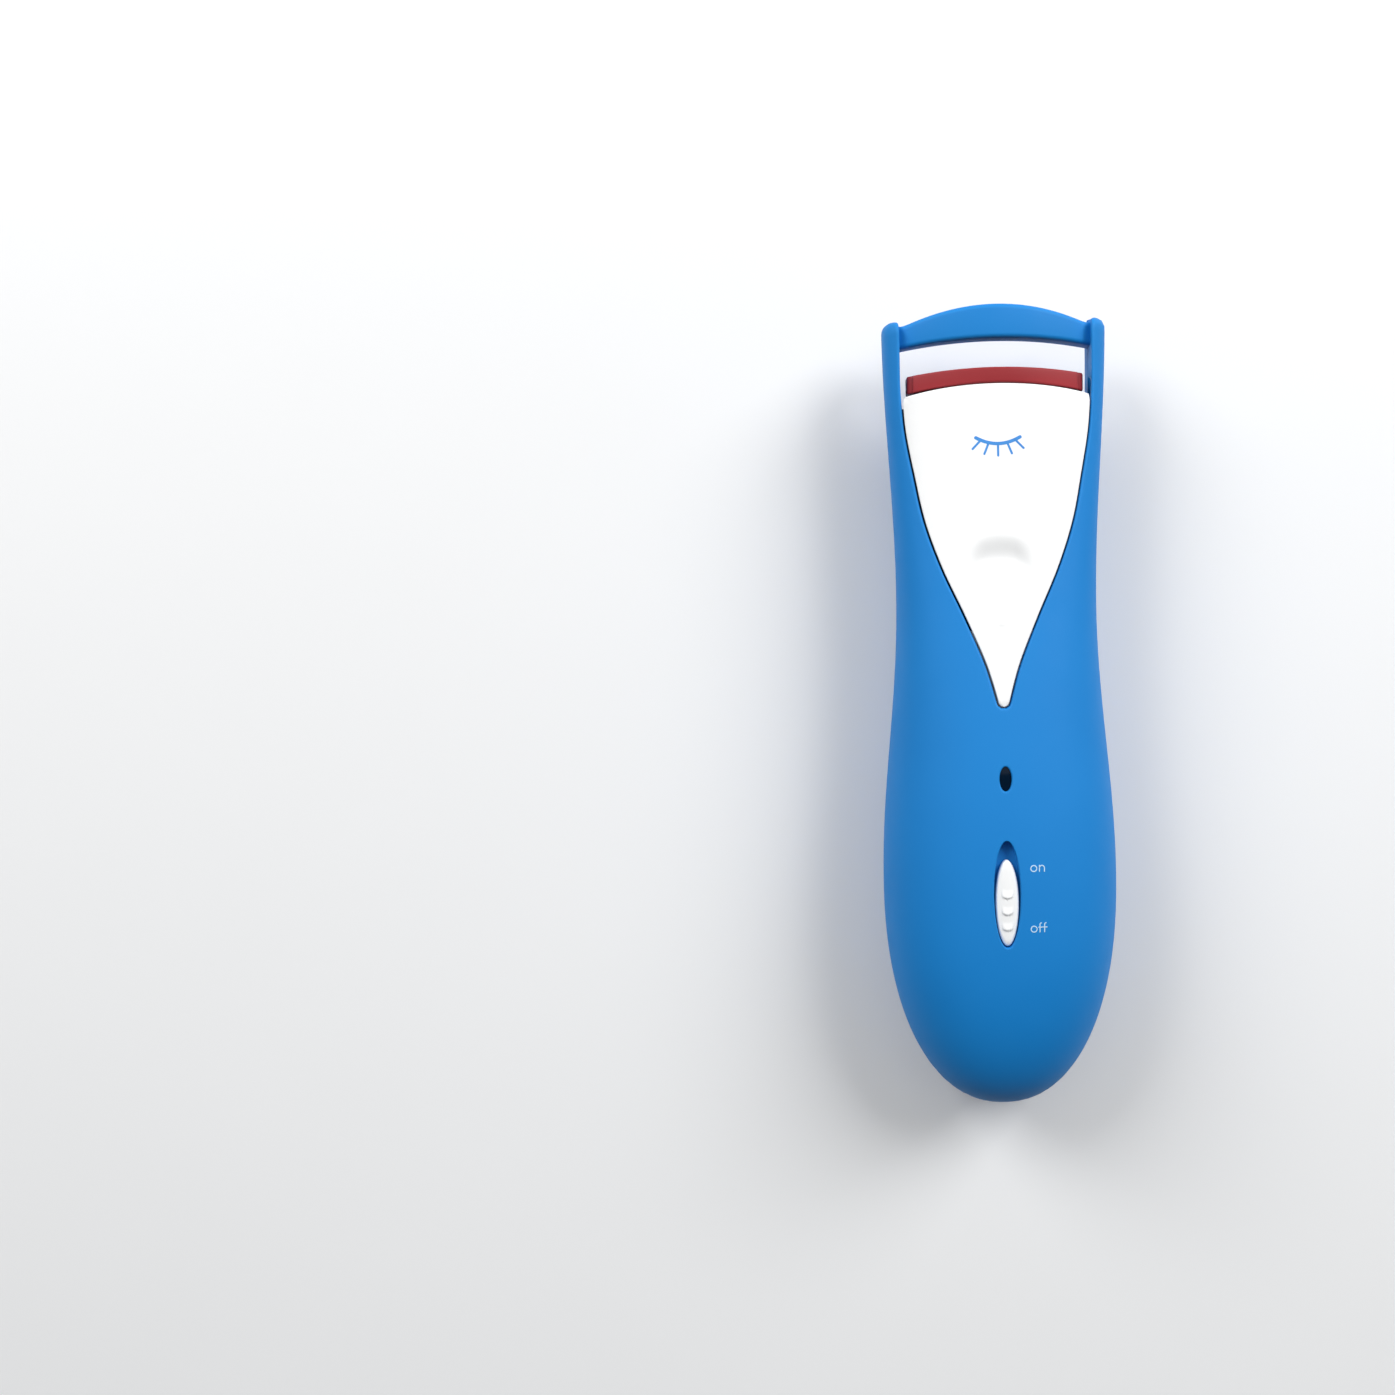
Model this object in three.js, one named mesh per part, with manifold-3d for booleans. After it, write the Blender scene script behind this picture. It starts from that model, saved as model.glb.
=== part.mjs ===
// Heated eyelash curler with a sliding lash clamp, lying on its back.
// Millimetres. +X right, +Y from the tail to the lash bar, +Z out of the front face.
// The origin is under the middle of the outline, on the surface that the back lies on.
// Stations along Y are counted from the tip of the V opening, and the finished group is
// moved so that its outline is centred on the origin.

import * as THREE from 'three';
import { LoftGeometry } from 'three/addons/geometries/LoftGeometry.js';
import { mergeVertices } from 'three/addons/utils/BufferGeometryUtils.js';
import Module from 'manifold-3d';

const wasm = await Module();
wasm.setup();

// ---------------------------------------------------------------- driving dimensions

// Outline of the handle, seen from the front
const TAIL_END = -59.9;
const BELLY_Y = -26;
const WAIST_Y = 16;
const HEAD_Y = 53;
const FLARE_END_Y = 57.8;
const BELLY_HALF_WIDTH = 17.34;
const WAIST_HALF_WIDTH = 14.75;
const HEAD_HALF_WIDTH = 16.44;
const TIP_ANGLE = THREE.MathUtils.degToRad(86);
const TAIL_LENGTH = (BELLY_Y - TAIL_END) / Math.sin(TIP_ANGLE);
const TAIL_WIDTH_POWER = 2.22;
const TAIL_HEIGHT_POWER = 2.4;

// Side profile, measured from the plane where the two shells part
const PARTING_Z = 12;
const SEAM = 0.08;
const BELLY_RISE = 12.5;
const HEAD_RISE = 6.5;
const BELLY_DEPTH = 13.8;
const HEAD_DEPTH = 3.5;
const BACK_RISE_START = 2;
const BELLY_ROUNDNESS = 2.3;
const HEAD_ROUNDNESS = 3.6;
const WALL = 1.5;
const FIT = 0.2;

// Arms that carry the lash bar
const ARM_END = 57;
const ARM_CORNER = 1.4;
const THROAT_HALF_WIDTH = 14.1;
const THROAT_START = 44;

// V opening for the thumb slide
const V_TIP_Y = 0.2;
const V_TIP_RADIUS = 1.1;
const V_FLANK = [[2.7, 6.75], [5.55, 13.6], [8.65, 20.5], [11, 27.3], [12.45, 34.2], [13.65, 41]];
const V_TOP = [THROAT_HALF_WIDTH, 47.6];
const PANEL_GAP = 0.3;
const PANEL_TOP_Y = 47.4;
const PANEL_TOP_RADIUS = 54.5;
const PANEL_WALL = 1.6;
const SCOOP = { y: 18.3, lift: 0.2, halfWidth: 5.3, halfLength: 6.2, depth: 1.7 };
const SCOOP_BACKING = { half: 6.5, y0: 11, y1: 26 };
// Lip under the panel's tip that closes the V when the clamp is shut: half width at each Y
const LIP_Z0 = 18.5;
const LIP_Z1 = 19.1;
const LIP_OUTLINE = [[1.6, -3.6], [3.2, 2.9], [6.05, 9.75], [6.05, 11.4]];

// Lash clamp
const CLAMP_TRAVEL = 3.85;
const BAR_BOW = 3.2;
const BAR_TOP_Z = 18.4;
const BAR_DEPTH = 5;
const BAR_LOW_Y = 53.97;
const BAR_HIGH_Y = 59;
const BAR_LOW_SAG = 1.05;
const BAR_HIGH_SAG = 3;
const BAR_HALF = THROAT_HALF_WIDTH - FIT;
const BAR_CORNER = 0.7;
const BAR_TAB = { x0: 13, x1: 15.1, y0: 53.6, y1: 55.4, z0: 11, z1: 13.1 };
const PAD_HALF = 12.9;
const PAD_LOW_Y = 47.6;
const PAD_HIGH_Y = 49.82;
const PAD_LOW_SAG = 1.6;
const PAD_HIGH_SAG = 1.1;
const PAD_TOP_Z = 18.2;
const PAD_DEPTH = 4.4;
const PLATE_HALF = 12;
const PLATE_TOP_Z = 16.6;
const PLATE_DEPTH = 3.2;
const PLATE_THICKNESS = 0.5;

// Carriage and its guides
const CARRIAGE_Z0 = 12.2;
const CARRIAGE_Z1 = 13.8;
const CARRIAGE_TAIL_Y = 16;
const CARRIAGE_HEAD_Y = 44.3;
const CARRIAGE_HALF = 12.9;
const RAIL_HALF = 14.4;
const RAIL_START_Y = 30.5;
const CHANNEL_HALF = 14.65;
const CHANNEL_TOP_Z = 14;
const BLOCK_Y0 = 41.5;
const BLOCK_TOP_Z = 15.6;
const PANEL_SCREW = { x: 7, y: 33 };
const PANEL_POST_RADIUS = 1.9;
const HEATER = { half: 4.1, y0: 43.6, y1: 45.7, z0: 13.7, z1: 15.7 };
const LEAD_RADIUS = 0.45;
const LEAD_ROUTE = [
  [2, 6.8, 16.5], [2.4, 9.5, 15.9], [3.6, 12.5, 15.4], [1.6, 15.5, 15.2], [3.2, 18.5, 15.1],
  [2.2, 22.5, 15], [2.2, 30, 15], [2.2, 38, 15], [2.2, 43.2, 15],
];
const SPRING_X = 8;
const SPRING_Z = 9;
const SPRING_START_Y = 17.9;
const SPRING_END_Y = 30.8;
const SPRING_RADIUS = 1.45;
const SPRING_WIRE_RADIUS = 0.2;
const SPRING_TURNS = 6.5;
const SPRING_TAB_HALF = 2.2;

// Switch and window
const SWITCH_TRAVEL = 2.6;
const KNOB_Y = -27.9;
const KNOB_SIZE = { x: 3.4, y: 12.5 };
const KNOB_BEVEL = 0.45;
const KNOB_STEM = { half: 0.8, reach: 1.2, z0: 21.6, z1: 23.4 };
const RECESS_Y = -26.6;
const RECESS_SIZE = { x: 3.86, y: 15.6 };
const RECESS_FLOOR_Z = 22.7;
const RECESS_FLOOR_THICKNESS = 1.2;
const KNOB_TOP_Z = 24.5;
const RIDGE_OFFSETS = [1.1, -1.3, -3.6];
const RIDGE = { radius: 0.42, length: 1.7, sink: 0.12 };
const SLIDER = { half: 1.35, reach: 2.2, z0: 18.45, z1: 19.75, topZ: 21.3 };
const SWITCH_CASE = { half: 2.6, reach: 4, topZ: 20.8 };
const WINDOW_Y = -9.9;
const WINDOW_SIZE = { x: 1.75, y: 3.6 };
const LENS = { flange: 0.6, z0: 21.2, flangeTopZ: 22, topZ: 23.5 };
const LED_PROFILE = [[0, 0], [1.5, 0], [1.5, 2], [1.1, 3], [0, 3.5]];

// Battery bay: two AAA cells
const CELL_LENGTH = 44.5;
const CELL_RADIUS = 5.25;
const CELL_X = 5.5;
const CELL_Z = 7;
const BAY_TAIL_Y = -41.9;
const BAY_HEAD_Y = 5.9;
const CONTACT_THICKNESS = 0.4;
const CONTACT_Z0 = 3.2;
const CONTACT_Z1 = 10.8;
const CONTACT_SPRING = { room: 1.8, wireRadius: 0.22, turns: 2.5, wide: 3.2, narrow: 1.8 };
const COVER_HEAD_Y = 7.9;
const COVER_TOP_Z = 6;
const TONGUE = { half: 1.8, root: 5, tip: 10.3, topZ: 2.9 };
const TRAY_HALF = 11.75;
const TRAY_WALL = 0.8;
const TRAY_Z0 = 12.45;
const TRAY_Z1 = 13.35;
const BOARD_POST_RADIUS = 1.8;

// Circuit board and fasteners
const BOARD = { half: 9, y0: -44, y1: 6.4, z0: 16, z1: 17 };
const BOARD_SCREWS = { rear: [-6.5, -41], front: [6.5, 3] };
const TIMER_CHIP = { x0: -3, x1: 3, y0: -38.5, y1: -34, topZ: 18.8 };
const TRANSISTOR = { x0: 3.4, x1: 6.6, y0: -19, y1: -16, topZ: 18.9 };
const CAPACITOR = { x: -5, y: -16.5, radius: 2, topZ: 21 };
const SIDE_SCREW = { x: 9.6, y: 12 };
const TAIL_SCREW_Y = -50;
const BOSS_RADIUS = 2.4;
const BOSS_Z0 = 13.6;
const BOSS_TOP_Z = 18;
const PILOT_RADIUS = 1;
const SCREW_HOLE_RADIUS = 1.3;
const COUNTERBORE = { radius: 2.2, topZ: 4.6 };
const SHELF = { tailOf: -46, z: 10 };
const LEDGE = { x0: 13, x1: 20, y0: 28, z: 10.4 };
const BAY_WALL = { y0: 8.3, y1: 9.5 };
const SPRING_RIB = { half: 11, thickness: 1.2, topZ: 10.8 };

// Screws: the plane of the head, the tip, and both radii
const SHELL_SCREW = { headZ: 3.3, tipZ: 17.4, head: 2, shank: 0.75 };
const TAIL_SCREW = { headZ: 8.8, tipZ: 17.4, head: 2, shank: 0.75 };
const PANEL_FIXING = { headZ: 12.25, tipZ: 17.2, head: 1.5, shank: 0.7 };
const BOARD_FIXING = { headZ: 18.2, tipZ: 13.4, head: 1.6, shank: 0.7 };

// Facets
const RING_POINTS = 36;
const ROUND_SIDES = 16;

// ---------------------------------------------------------------- solids

function solid(geometry) {
  const bare = new THREE.BufferGeometry();
  bare.setAttribute('position', geometry.attributes.position);
  bare.setIndex(geometry.index);
  const merged = mergeVertices(bare, 1e-4);
  const corners = merged.index.array;
  const kept = [];
  for (let i = 0; i < corners.length; i += 3) {
    const [a, b, c] = [corners[i], corners[i + 1], corners[i + 2]];
    if (a !== b && b !== c && c !== a) kept.push(a, b, c);
  }
  return new wasm.Manifold(new wasm.Mesh({
    numProp: 3,
    vertProperties: new Float32Array(merged.attributes.position.array),
    triVerts: new Uint32Array(kept),
  }));
}

const join = (first, ...others) => others.reduce((sum, other) => sum.add(other), first);
const cut = (first, ...others) => others.reduce((rest, other) => rest.subtract(other), first);

function box(x0, x1, y0, y1, z0, z1) {
  const geometry = new THREE.BoxGeometry(x1 - x0, y1 - y0, z1 - z0);
  return solid(geometry.translate((x0 + x1) / 2, (y0 + y1) / 2, (z0 + z1) / 2));
}

function post(radius, x, y, z0, z1, sides = ROUND_SIDES) {
  const geometry = new THREE.CylinderGeometry(radius, radius, z1 - z0, sides);
  return solid(geometry.rotateX(Math.PI / 2).translate(x, y, (z0 + z1) / 2));
}

function prism(shape, z0, z1, curveSegments = 12) {
  const options = { depth: z1 - z0, bevelEnabled: false, curveSegments };
  return solid(new THREE.ExtrudeGeometry(shape, options).translate(0, 0, z0));
}

function ellipse(y, size, growth = 0) {
  const shape = new THREE.Shape();
  shape.absellipse(0, y, size.x / 2 + growth, size.y / 2 + growth, 0, 2 * Math.PI);
  return shape;
}

function turned(profile, x, y, z, sides = ROUND_SIDES) {
  const points = profile.map(([radius, along]) => new THREE.Vector2(radius, along));
  return solid(new THREE.LatheGeometry(points, sides).translate(x, y, z));
}

function wire(path, radius, steps, sides) {
  const section = new THREE.Shape();
  section.absarc(0, 0, radius, 0, 2 * Math.PI);
  const options = { steps, curveSegments: sides / 2, extrudePath: path };
  return solid(new THREE.ExtrudeGeometry(section, options));
}

// ---------------------------------------------------------------- handle form

const clamp01 = (t) => THREE.MathUtils.clamp(t, 0, 1);
const ease = (from, to, t) => from + (to - from) * (1 - Math.cos(Math.PI * clamp01(t))) / 2;
const roundEnd = (t, power) => (1 - t ** power) ** (1 / power);

// The form at one station along Y, each wall moved inwards by inset
function station(y, inset) {
  const tail = Math.max(0, (BELLY_Y - y) / (TAIL_LENGTH - inset));
  const toWaist = ease(BELLY_HALF_WIDTH, WAIST_HALF_WIDTH, (y - BELLY_Y) / (WAIST_Y - BELLY_Y));
  const flare = (y - WAIST_Y) / (FLARE_END_Y - WAIST_Y);
  const toHead = ease(0, HEAD_HALF_WIDTH - WAIST_HALF_WIDTH, flare);
  const rise = ease(BELLY_RISE, HEAD_RISE, (y - BELLY_Y) / (HEAD_Y - BELLY_Y));
  const depth = ease(BELLY_DEPTH, HEAD_DEPTH, (y - BACK_RISE_START) / (HEAD_Y - BACK_RISE_START));
  const intoCorner = Math.max(0, y - (ARM_END - ARM_CORNER));
  const corner = ARM_CORNER - Math.sqrt(Math.max(0, ARM_CORNER ** 2 - intoCorner ** 2));
  const off = inset + corner;
  return {
    halfWidth: (toWaist + toHead - off) * roundEnd(tail, TAIL_WIDTH_POWER),
    rise: (rise - off) * roundEnd(tail, TAIL_HEIGHT_POWER),
    depth: (depth - off) * roundEnd(tail, TAIL_HEIGHT_POWER),
    roundness: ease(BELLY_ROUNDNESS, HEAD_ROUNDNESS, (y + 10) / 55),
  };
}

function ring(y, inset) {
  const { halfWidth, rise, depth, roundness } = station(y, inset);
  const points = [];
  for (let i = 0; i < RING_POINTS; i++) {
    const angle = (2 * Math.PI * i) / RING_POINTS;
    const along = Math.sign(Math.cos(angle)) * Math.abs(Math.cos(angle)) ** (2 / roundness);
    const up = Math.sign(Math.sin(angle)) * Math.abs(Math.sin(angle)) ** (2 / roundness);
    const z = PARTING_Z + up * (up > 0 ? rise : depth);
    points.push(new THREE.Vector3(-halfWidth * along, y, Math.max(z, inset)));
  }
  return points;
}

// Stations bunch up where the tail closes and where the arm corners turn
function formStations(inset, headEnd) {
  const stations = [];
  for (const degrees of [86, 77, 66, 54, 42, 30, 18, 8]) {
    const angle = THREE.MathUtils.degToRad(degrees);
    stations.push(BELLY_Y - (TAIL_LENGTH - inset) * Math.sin(angle));
  }
  for (let y = BELLY_Y; y < Math.min(headEnd, ARM_END - ARM_CORNER) - 2; y += 6.5) stations.push(y);
  if (headEnd < ARM_END) return [...stations, headEnd];
  for (const degrees of [0, 35, 65, 90]) {
    const angle = THREE.MathUtils.degToRad(degrees);
    stations.push(ARM_END - ARM_CORNER + ARM_CORNER * Math.sin(angle));
  }
  return stations;
}

function form(inset = 0, headEnd = ARM_END) {
  const rings = formStations(inset, headEnd).map((y) => ring(y, inset));
  return solid(new LoftGeometry(rings, { capStart: true, capEnd: true }));
}

const FAR = 80;
const outerForm = form();
const frontCavity = form(WALL, THROAT_START + 0.3);
const backCavity = form(WALL, THROAT_START - WALL);
const throat = box(-THROAT_HALF_WIDTH, THROAT_HALF_WIDTH, THROAT_START, FAR, -FAR, FAR);

// Outline of the V opening, or of the panel in it when inset
function vOutline(inset) {
  const radius = V_TIP_RADIUS - inset;
  const centreY = V_TIP_Y + V_TIP_RADIUS;
  const flank = [[V_TIP_RADIUS, centreY], ...V_FLANK, V_TOP];
  const right = flank.map(([x, y]) => new THREE.Vector2(x - inset, y));
  const left = right.map((p) => new THREE.Vector2(-p.x, p.y)).reverse();
  const shape = new THREE.Shape();
  shape.absarc(0, centreY, radius, Math.PI, 2 * Math.PI);
  shape.splineThru(right.slice(1));
  shape.lineTo(left[0].x, left[0].y);
  shape.splineThru(left.slice(1));
  return shape;
}

// Bar whose plan arches towards +Y and whose middle bows towards +Z
function bowedBar({ half, lowY, highY, lowSag, highSag, topZ, depth, corner, stations, perCorner }) {
  const sections = [];
  for (let i = 0; i <= stations; i++) {
    const x = half * (2 * i / stations - 1);
    const sweep = (x / THROAT_HALF_WIDTH) ** 2;
    const z1 = topZ - BAR_BOW * sweep;
    const [y0, y1] = [lowY - lowSag * sweep, highY - highSag * sweep];
    sections.push(roundedRing(x, [y0, y1], [z1 - depth, z1], corner, perCorner));
  }
  return solid(new LoftGeometry(sections, { capStart: true, capEnd: true }));
}

function roundedRing(x, [y0, y1], [z0, z1], radius, perCorner) {
  const [low, high] = [y0 + radius, y1 - radius];
  const [bottom, top] = [z0 + radius, z1 - radius];
  const centres = [[high, top], [low, top], [low, bottom], [high, bottom]];
  const points = [];
  centres.forEach(([y, z], quarter) => {
    for (let i = 0; i < perCorner; i++) {
      const angle = Math.PI / 2 * (quarter + i / (perCorner - 1));
      points.push(new THREE.Vector3(x, y + radius * Math.cos(angle), z + radius * Math.sin(angle)));
    }
  });
  return points;
}

const mirrored = (make) => [-1, 1].map((side) => make(side));
const sideBox = (side, x0, x1, ...rest) => box(...(side > 0 ? [x0, x1] : [-x1, -x0]), ...rest);

// ---------------------------------------------------------------- shells

const CHANNEL_END_Y = CARRIAGE_HEAD_Y + CLAMP_TRAVEL + 2 * FIT;
const railChannels = mirrored((side) => sideBox(
  side, CARRIAGE_HALF - 2 * FIT, CHANNEL_HALF, RAIL_START_Y - 1, CHANNEL_END_Y,
  PARTING_Z - SEAM, CHANNEL_TOP_Z,
));
const barPockets = mirrored((side) => sideBox(
  side, BAR_TAB.x0, BAR_TAB.x1 + FIT, BAR_TAB.y0 - FIT, BAR_TAB.y1 + FIT,
  BAR_TAB.z0 - FIT, BAR_TAB.z1 + FIT,
));
const bossPlaces = [[-SIDE_SCREW.x, SIDE_SCREW.y], [SIDE_SCREW.x, SIDE_SCREW.y], [0, TAIL_SCREW_Y]];
const boardScrewPlaces = Object.values(BOARD_SCREWS);

function frontShell() {
  const skin = cut(
    outerForm.intersect(box(-FAR, FAR, -FAR, FAR, PARTING_Z + SEAM, FAR)),
    frontCavity,
    throat,
    prism(vOutline(0), PARTING_Z, FAR, 6),
    ...railChannels,
    ...barPockets,
  );
  const cupOutline = ellipse(RECESS_Y, RECESS_SIZE, RECESS_FLOOR_THICKNESS);
  const cup = prism(cupOutline, RECESS_FLOOR_Z - RECESS_FLOOR_THICKNESS, RECESS_FLOOR_Z + 1.3, 8);
  const bossPost = ([x, y]) => post(BOSS_RADIUS, x, y, BOSS_Z0, FAR).intersect(form(WALL / 2));
  const bosses = bossPlaces.map(bossPost);
  const pilots = bossPlaces.map(([x, y]) => post(PILOT_RADIUS, x, y, 0, BOSS_TOP_Z, 8));
  const slotHalf = KNOB_STEM.half + 0.3;
  const slotReach = KNOB_STEM.reach + 0.3;
  const stemSlot = box(
    -slotHalf, slotHalf, KNOB_Y - slotReach, KNOB_Y + SWITCH_TRAVEL + slotReach, BOARD.z0, FAR,
  );
  return cut(
    join(skin, cup, ...bosses),
    prism(ellipse(RECESS_Y, RECESS_SIZE), RECESS_FLOOR_Z, FAR, 10),
    prism(ellipse(WINDOW_Y, WINDOW_SIZE), BOARD.z0, FAR, 8),
    stemSlot,
    ...pilots,
  );
}

function backShell() {
  const top = PARTING_Z - SEAM;
  const half = outerForm.intersect(box(-FAR, FAR, -FAR, FAR, -FAR, top));
  const shelf = box(-FAR, FAR, -FAR, SHELF.tailOf, SHELF.z, top);
  const ledges = mirrored((side) => sideBox(
    side, LEDGE.x0, LEDGE.x1, LEDGE.y0, THROAT_START, LEDGE.z, top,
  ));
  const bayWall = box(-FAR, FAR, BAY_WALL.y0, BAY_WALL.y1, 0, top);
  const ribY = SPRING_END_Y + FIT;
  const springRib = box(
    -SPRING_RIB.half, SPRING_RIB.half, ribY, ribY + SPRING_RIB.thickness, 0, SPRING_RIB.topZ,
  );
  const posts = mirrored((side) => post(
    BOSS_RADIUS + FIT, side * SIDE_SCREW.x, SIDE_SCREW.y, 0, PARTING_Z + FIT,
  ));
  const ribs = [shelf, ...ledges, bayWall, springRib, ...posts].map((rib) => rib.intersect(outerForm));
  const holes = bossPlaces.map(([x, y]) => post(SCREW_HOLE_RADIUS, x, y, -1, FAR, 10));
  const counterbores = mirrored((side) => post(
    COUNTERBORE.radius, side * SIDE_SCREW.x, SIDE_SCREW.y, -1, COUNTERBORE.topZ,
  ));
  const bayOpening = box(-FAR, FAR, -FAR, COVER_HEAD_Y + FIT, -FAR, COVER_TOP_Z + FIT);
  const tongueSlot = box(
    -TONGUE.half - 0.3, TONGUE.half + 0.3, TONGUE.root, TONGUE.tip + 0.5, WALL, TONGUE.topZ + 0.3,
  );
  return cut(
    join(cut(half, backCavity), ...ribs),
    bayOpening,
    tongueSlot,
    throat,
    ...barPockets,
    ...holes,
    ...counterbores,
  );
}

function batteryCover() {
  const bowl = outerForm.intersect(box(-FAR, FAR, -FAR, COVER_HEAD_Y, -FAR, COVER_TOP_Z));
  const tongueRoot = box(
    -TONGUE.half, TONGUE.half, TONGUE.root, COVER_HEAD_Y - 0.3, WALL - 0.5, TONGUE.topZ,
  );
  const tongue = box(-TONGUE.half, TONGUE.half, TONGUE.root, TONGUE.tip, WALL + 0.3, TONGUE.topZ);
  return join(cut(bowl, backCavity), tongueRoot, tongue);
}

// ---------------------------------------------------------------- lash clamp

function lashBar() {
  const bar = bowedBar({
    half: BAR_HALF, lowY: BAR_LOW_Y, highY: BAR_HIGH_Y, lowSag: BAR_LOW_SAG, highSag: BAR_HIGH_SAG,
    topZ: BAR_TOP_Z, depth: BAR_DEPTH, corner: BAR_CORNER, stations: 14, perCorner: 3,
  });
  const tabs = mirrored((side) => sideBox(
    side, BAR_TAB.x0, BAR_TAB.x1, BAR_TAB.y0, BAR_TAB.y1, BAR_TAB.z0, BAR_TAB.z1,
  ));
  return join(bar, ...tabs);
}

function siliconePad() {
  return bowedBar({
    half: PAD_HALF, lowY: PAD_LOW_Y, highY: PAD_HIGH_Y, lowSag: PAD_LOW_SAG, highSag: PAD_HIGH_SAG,
    topZ: PAD_TOP_Z, depth: PAD_DEPTH, corner: 0.3, stations: 12, perCorner: 2,
  });
}

function heaterPlate() {
  return bowedBar({
    half: PLATE_HALF, lowY: PAD_LOW_Y - FIT - PLATE_THICKNESS, highY: PAD_LOW_Y - FIT,
    lowSag: PAD_LOW_SAG, highSag: PAD_LOW_SAG, topZ: PLATE_TOP_Z, depth: PLATE_DEPTH,
    corner: 0.1, stations: 12, perCorner: 2,
  });
}

function lipPlan() {
  const left = LIP_OUTLINE.map(([x, y]) => [-x, y]).reverse();
  return new THREE.Shape([...LIP_OUTLINE, ...left].map(([x, y]) => new THREE.Vector2(x, y)));
}

function thumbSlide() {
  const top = new THREE.Shape();
  top.absarc(0, PANEL_TOP_Y - PANEL_TOP_RADIUS, PANEL_TOP_RADIUS, -0.1, Math.PI + 0.1);
  const outline = prism(vOutline(PANEL_GAP), PARTING_Z, FAR, 6).intersect(prism(top, 0, FAR, 60));
  const skin = cut(outerForm.intersect(outline), form(PANEL_WALL, HEAD_Y));
  const { half, y0, y1 } = SCOOP_BACKING;
  const backing = cut(box(-half, half, y0, y1, PARTING_Z, FAR), form(2 * PANEL_WALL, HEAD_Y));
  const scoop = new THREE.SphereGeometry(1, 20, 12)
    .scale(SCOOP.halfWidth, SCOOP.halfLength, SCOOP.depth)
    .translate(0, SCOOP.y, PARTING_Z + station(SCOOP.y, 0).rise + SCOOP.lift);
  const posts = panelPosts(PANEL_POST_RADIUS, CARRIAGE_Z1 + FIT, FAR, ROUND_SIDES);
  const inPlace = (part) => part.intersect(form(PANEL_WALL / 2, HEAD_Y)).intersect(outline);
  const lip = prism(lipPlan(), LIP_Z0, LIP_Z1);
  return cut(
    join(skin, inPlace(backing), ...posts.map(inPlace), lip),
    solid(scoop),
    ...panelPosts(PILOT_RADIUS, 0, PANEL_FIXING.tipZ + 0.4, 8),
  );
}

// A round post or hole at each screw that holds the panel to the carriage
function panelPosts(radius, z0, z1, sides) {
  return mirrored((side) => post(radius, side * PANEL_SCREW.x, PANEL_SCREW.y, z0, z1, sides));
}

function carriagePlan() {
  const right = [
    [CARRIAGE_HALF, CARRIAGE_TAIL_Y], [CARRIAGE_HALF, RAIL_START_Y],
    [RAIL_HALF, RAIL_START_Y], [RAIL_HALF, CARRIAGE_HEAD_Y],
  ];
  const left = right.map(([x, y]) => [-x, y]).reverse();
  return new THREE.Shape([...right, ...left].map(([x, y]) => new THREE.Vector2(x, y)));
}

function slideCarriage() {
  const block = bowedBar({
    half: PAD_HALF, lowY: BLOCK_Y0, highY: PAD_LOW_Y - 2 * FIT - PLATE_THICKNESS,
    lowSag: 0, highSag: PAD_LOW_SAG + 0.1, topZ: BLOCK_TOP_Z + BAR_BOW, depth: 12,
    corner: 0.3, stations: 10, perCorner: 2,
  }).intersect(box(-FAR, FAR, -FAR, FAR, CARRIAGE_Z0, BLOCK_TOP_Z));
  const tabs = mirrored((side) => sideBox(
    side, SPRING_X - SPRING_TAB_HALF, SPRING_X + SPRING_TAB_HALF,
    CARRIAGE_TAIL_Y + 0.5, SPRING_START_Y - FIT, SPRING_Z - 1.7, CARRIAGE_Z0 + 0.5,
  ));
  const pocketHalf = HEATER.half + 0.3;
  const heaterPocket = box(-pocketHalf, pocketHalf, HEATER.y0 - 0.3, FAR, HEATER.z0 - 0.3, FAR);
  const leadGroove = box(-3.2, 3.2, BLOCK_Y0 - 1, HEATER.y0 + 0.4, LEAD_ROUTE.at(-1)[2] - 0.7, FAR);
  return cut(
    join(prism(carriagePlan(), CARRIAGE_Z0, CARRIAGE_Z1), block, ...tabs),
    heaterPocket,
    leadGroove,
    ...panelPosts(PANEL_FIXING.head + 0.25, 0, PANEL_FIXING.headZ + 1.1, 12),
    ...panelPosts(PILOT_RADIUS, 0, FAR, 8),
  );
}

const heaterElement = () => box(-HEATER.half, HEATER.half, HEATER.y0, HEATER.y1, HEATER.z0, HEATER.z1);

class Coil extends THREE.Curve {
  constructor(x, z, y0, y1, turns, startRadius, endRadius) {
    super();
    Object.assign(this, { x, z, y0, y1, turns, startRadius, endRadius });
  }

  getPoint(t) {
    const angle = 2 * Math.PI * this.turns * t;
    const radius = this.startRadius + (this.endRadius - this.startRadius) * t;
    return new THREE.Vector3(
      this.x + radius * Math.cos(angle),
      this.y0 + (this.y1 - this.y0) * t,
      this.z + radius * Math.sin(angle),
    );
  }
}

function returnSpring(side) {
  const start = SPRING_START_Y + SPRING_WIRE_RADIUS;
  const end = SPRING_END_Y - SPRING_WIRE_RADIUS;
  const path = new Coil(
    side * SPRING_X, SPRING_Z, start, end, SPRING_TURNS, SPRING_RADIUS, SPRING_RADIUS,
  );
  return wire(path, SPRING_WIRE_RADIUS, 8 * SPRING_TURNS, 4);
}

function heaterLead(side) {
  const route = LEAD_ROUTE.map(([x, y, z]) => new THREE.Vector3(side * x, y, z));
  return wire(new THREE.CatmullRomCurve3(route), LEAD_RADIUS, 26, 6);
}

// ---------------------------------------------------------------- switch and board

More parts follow.
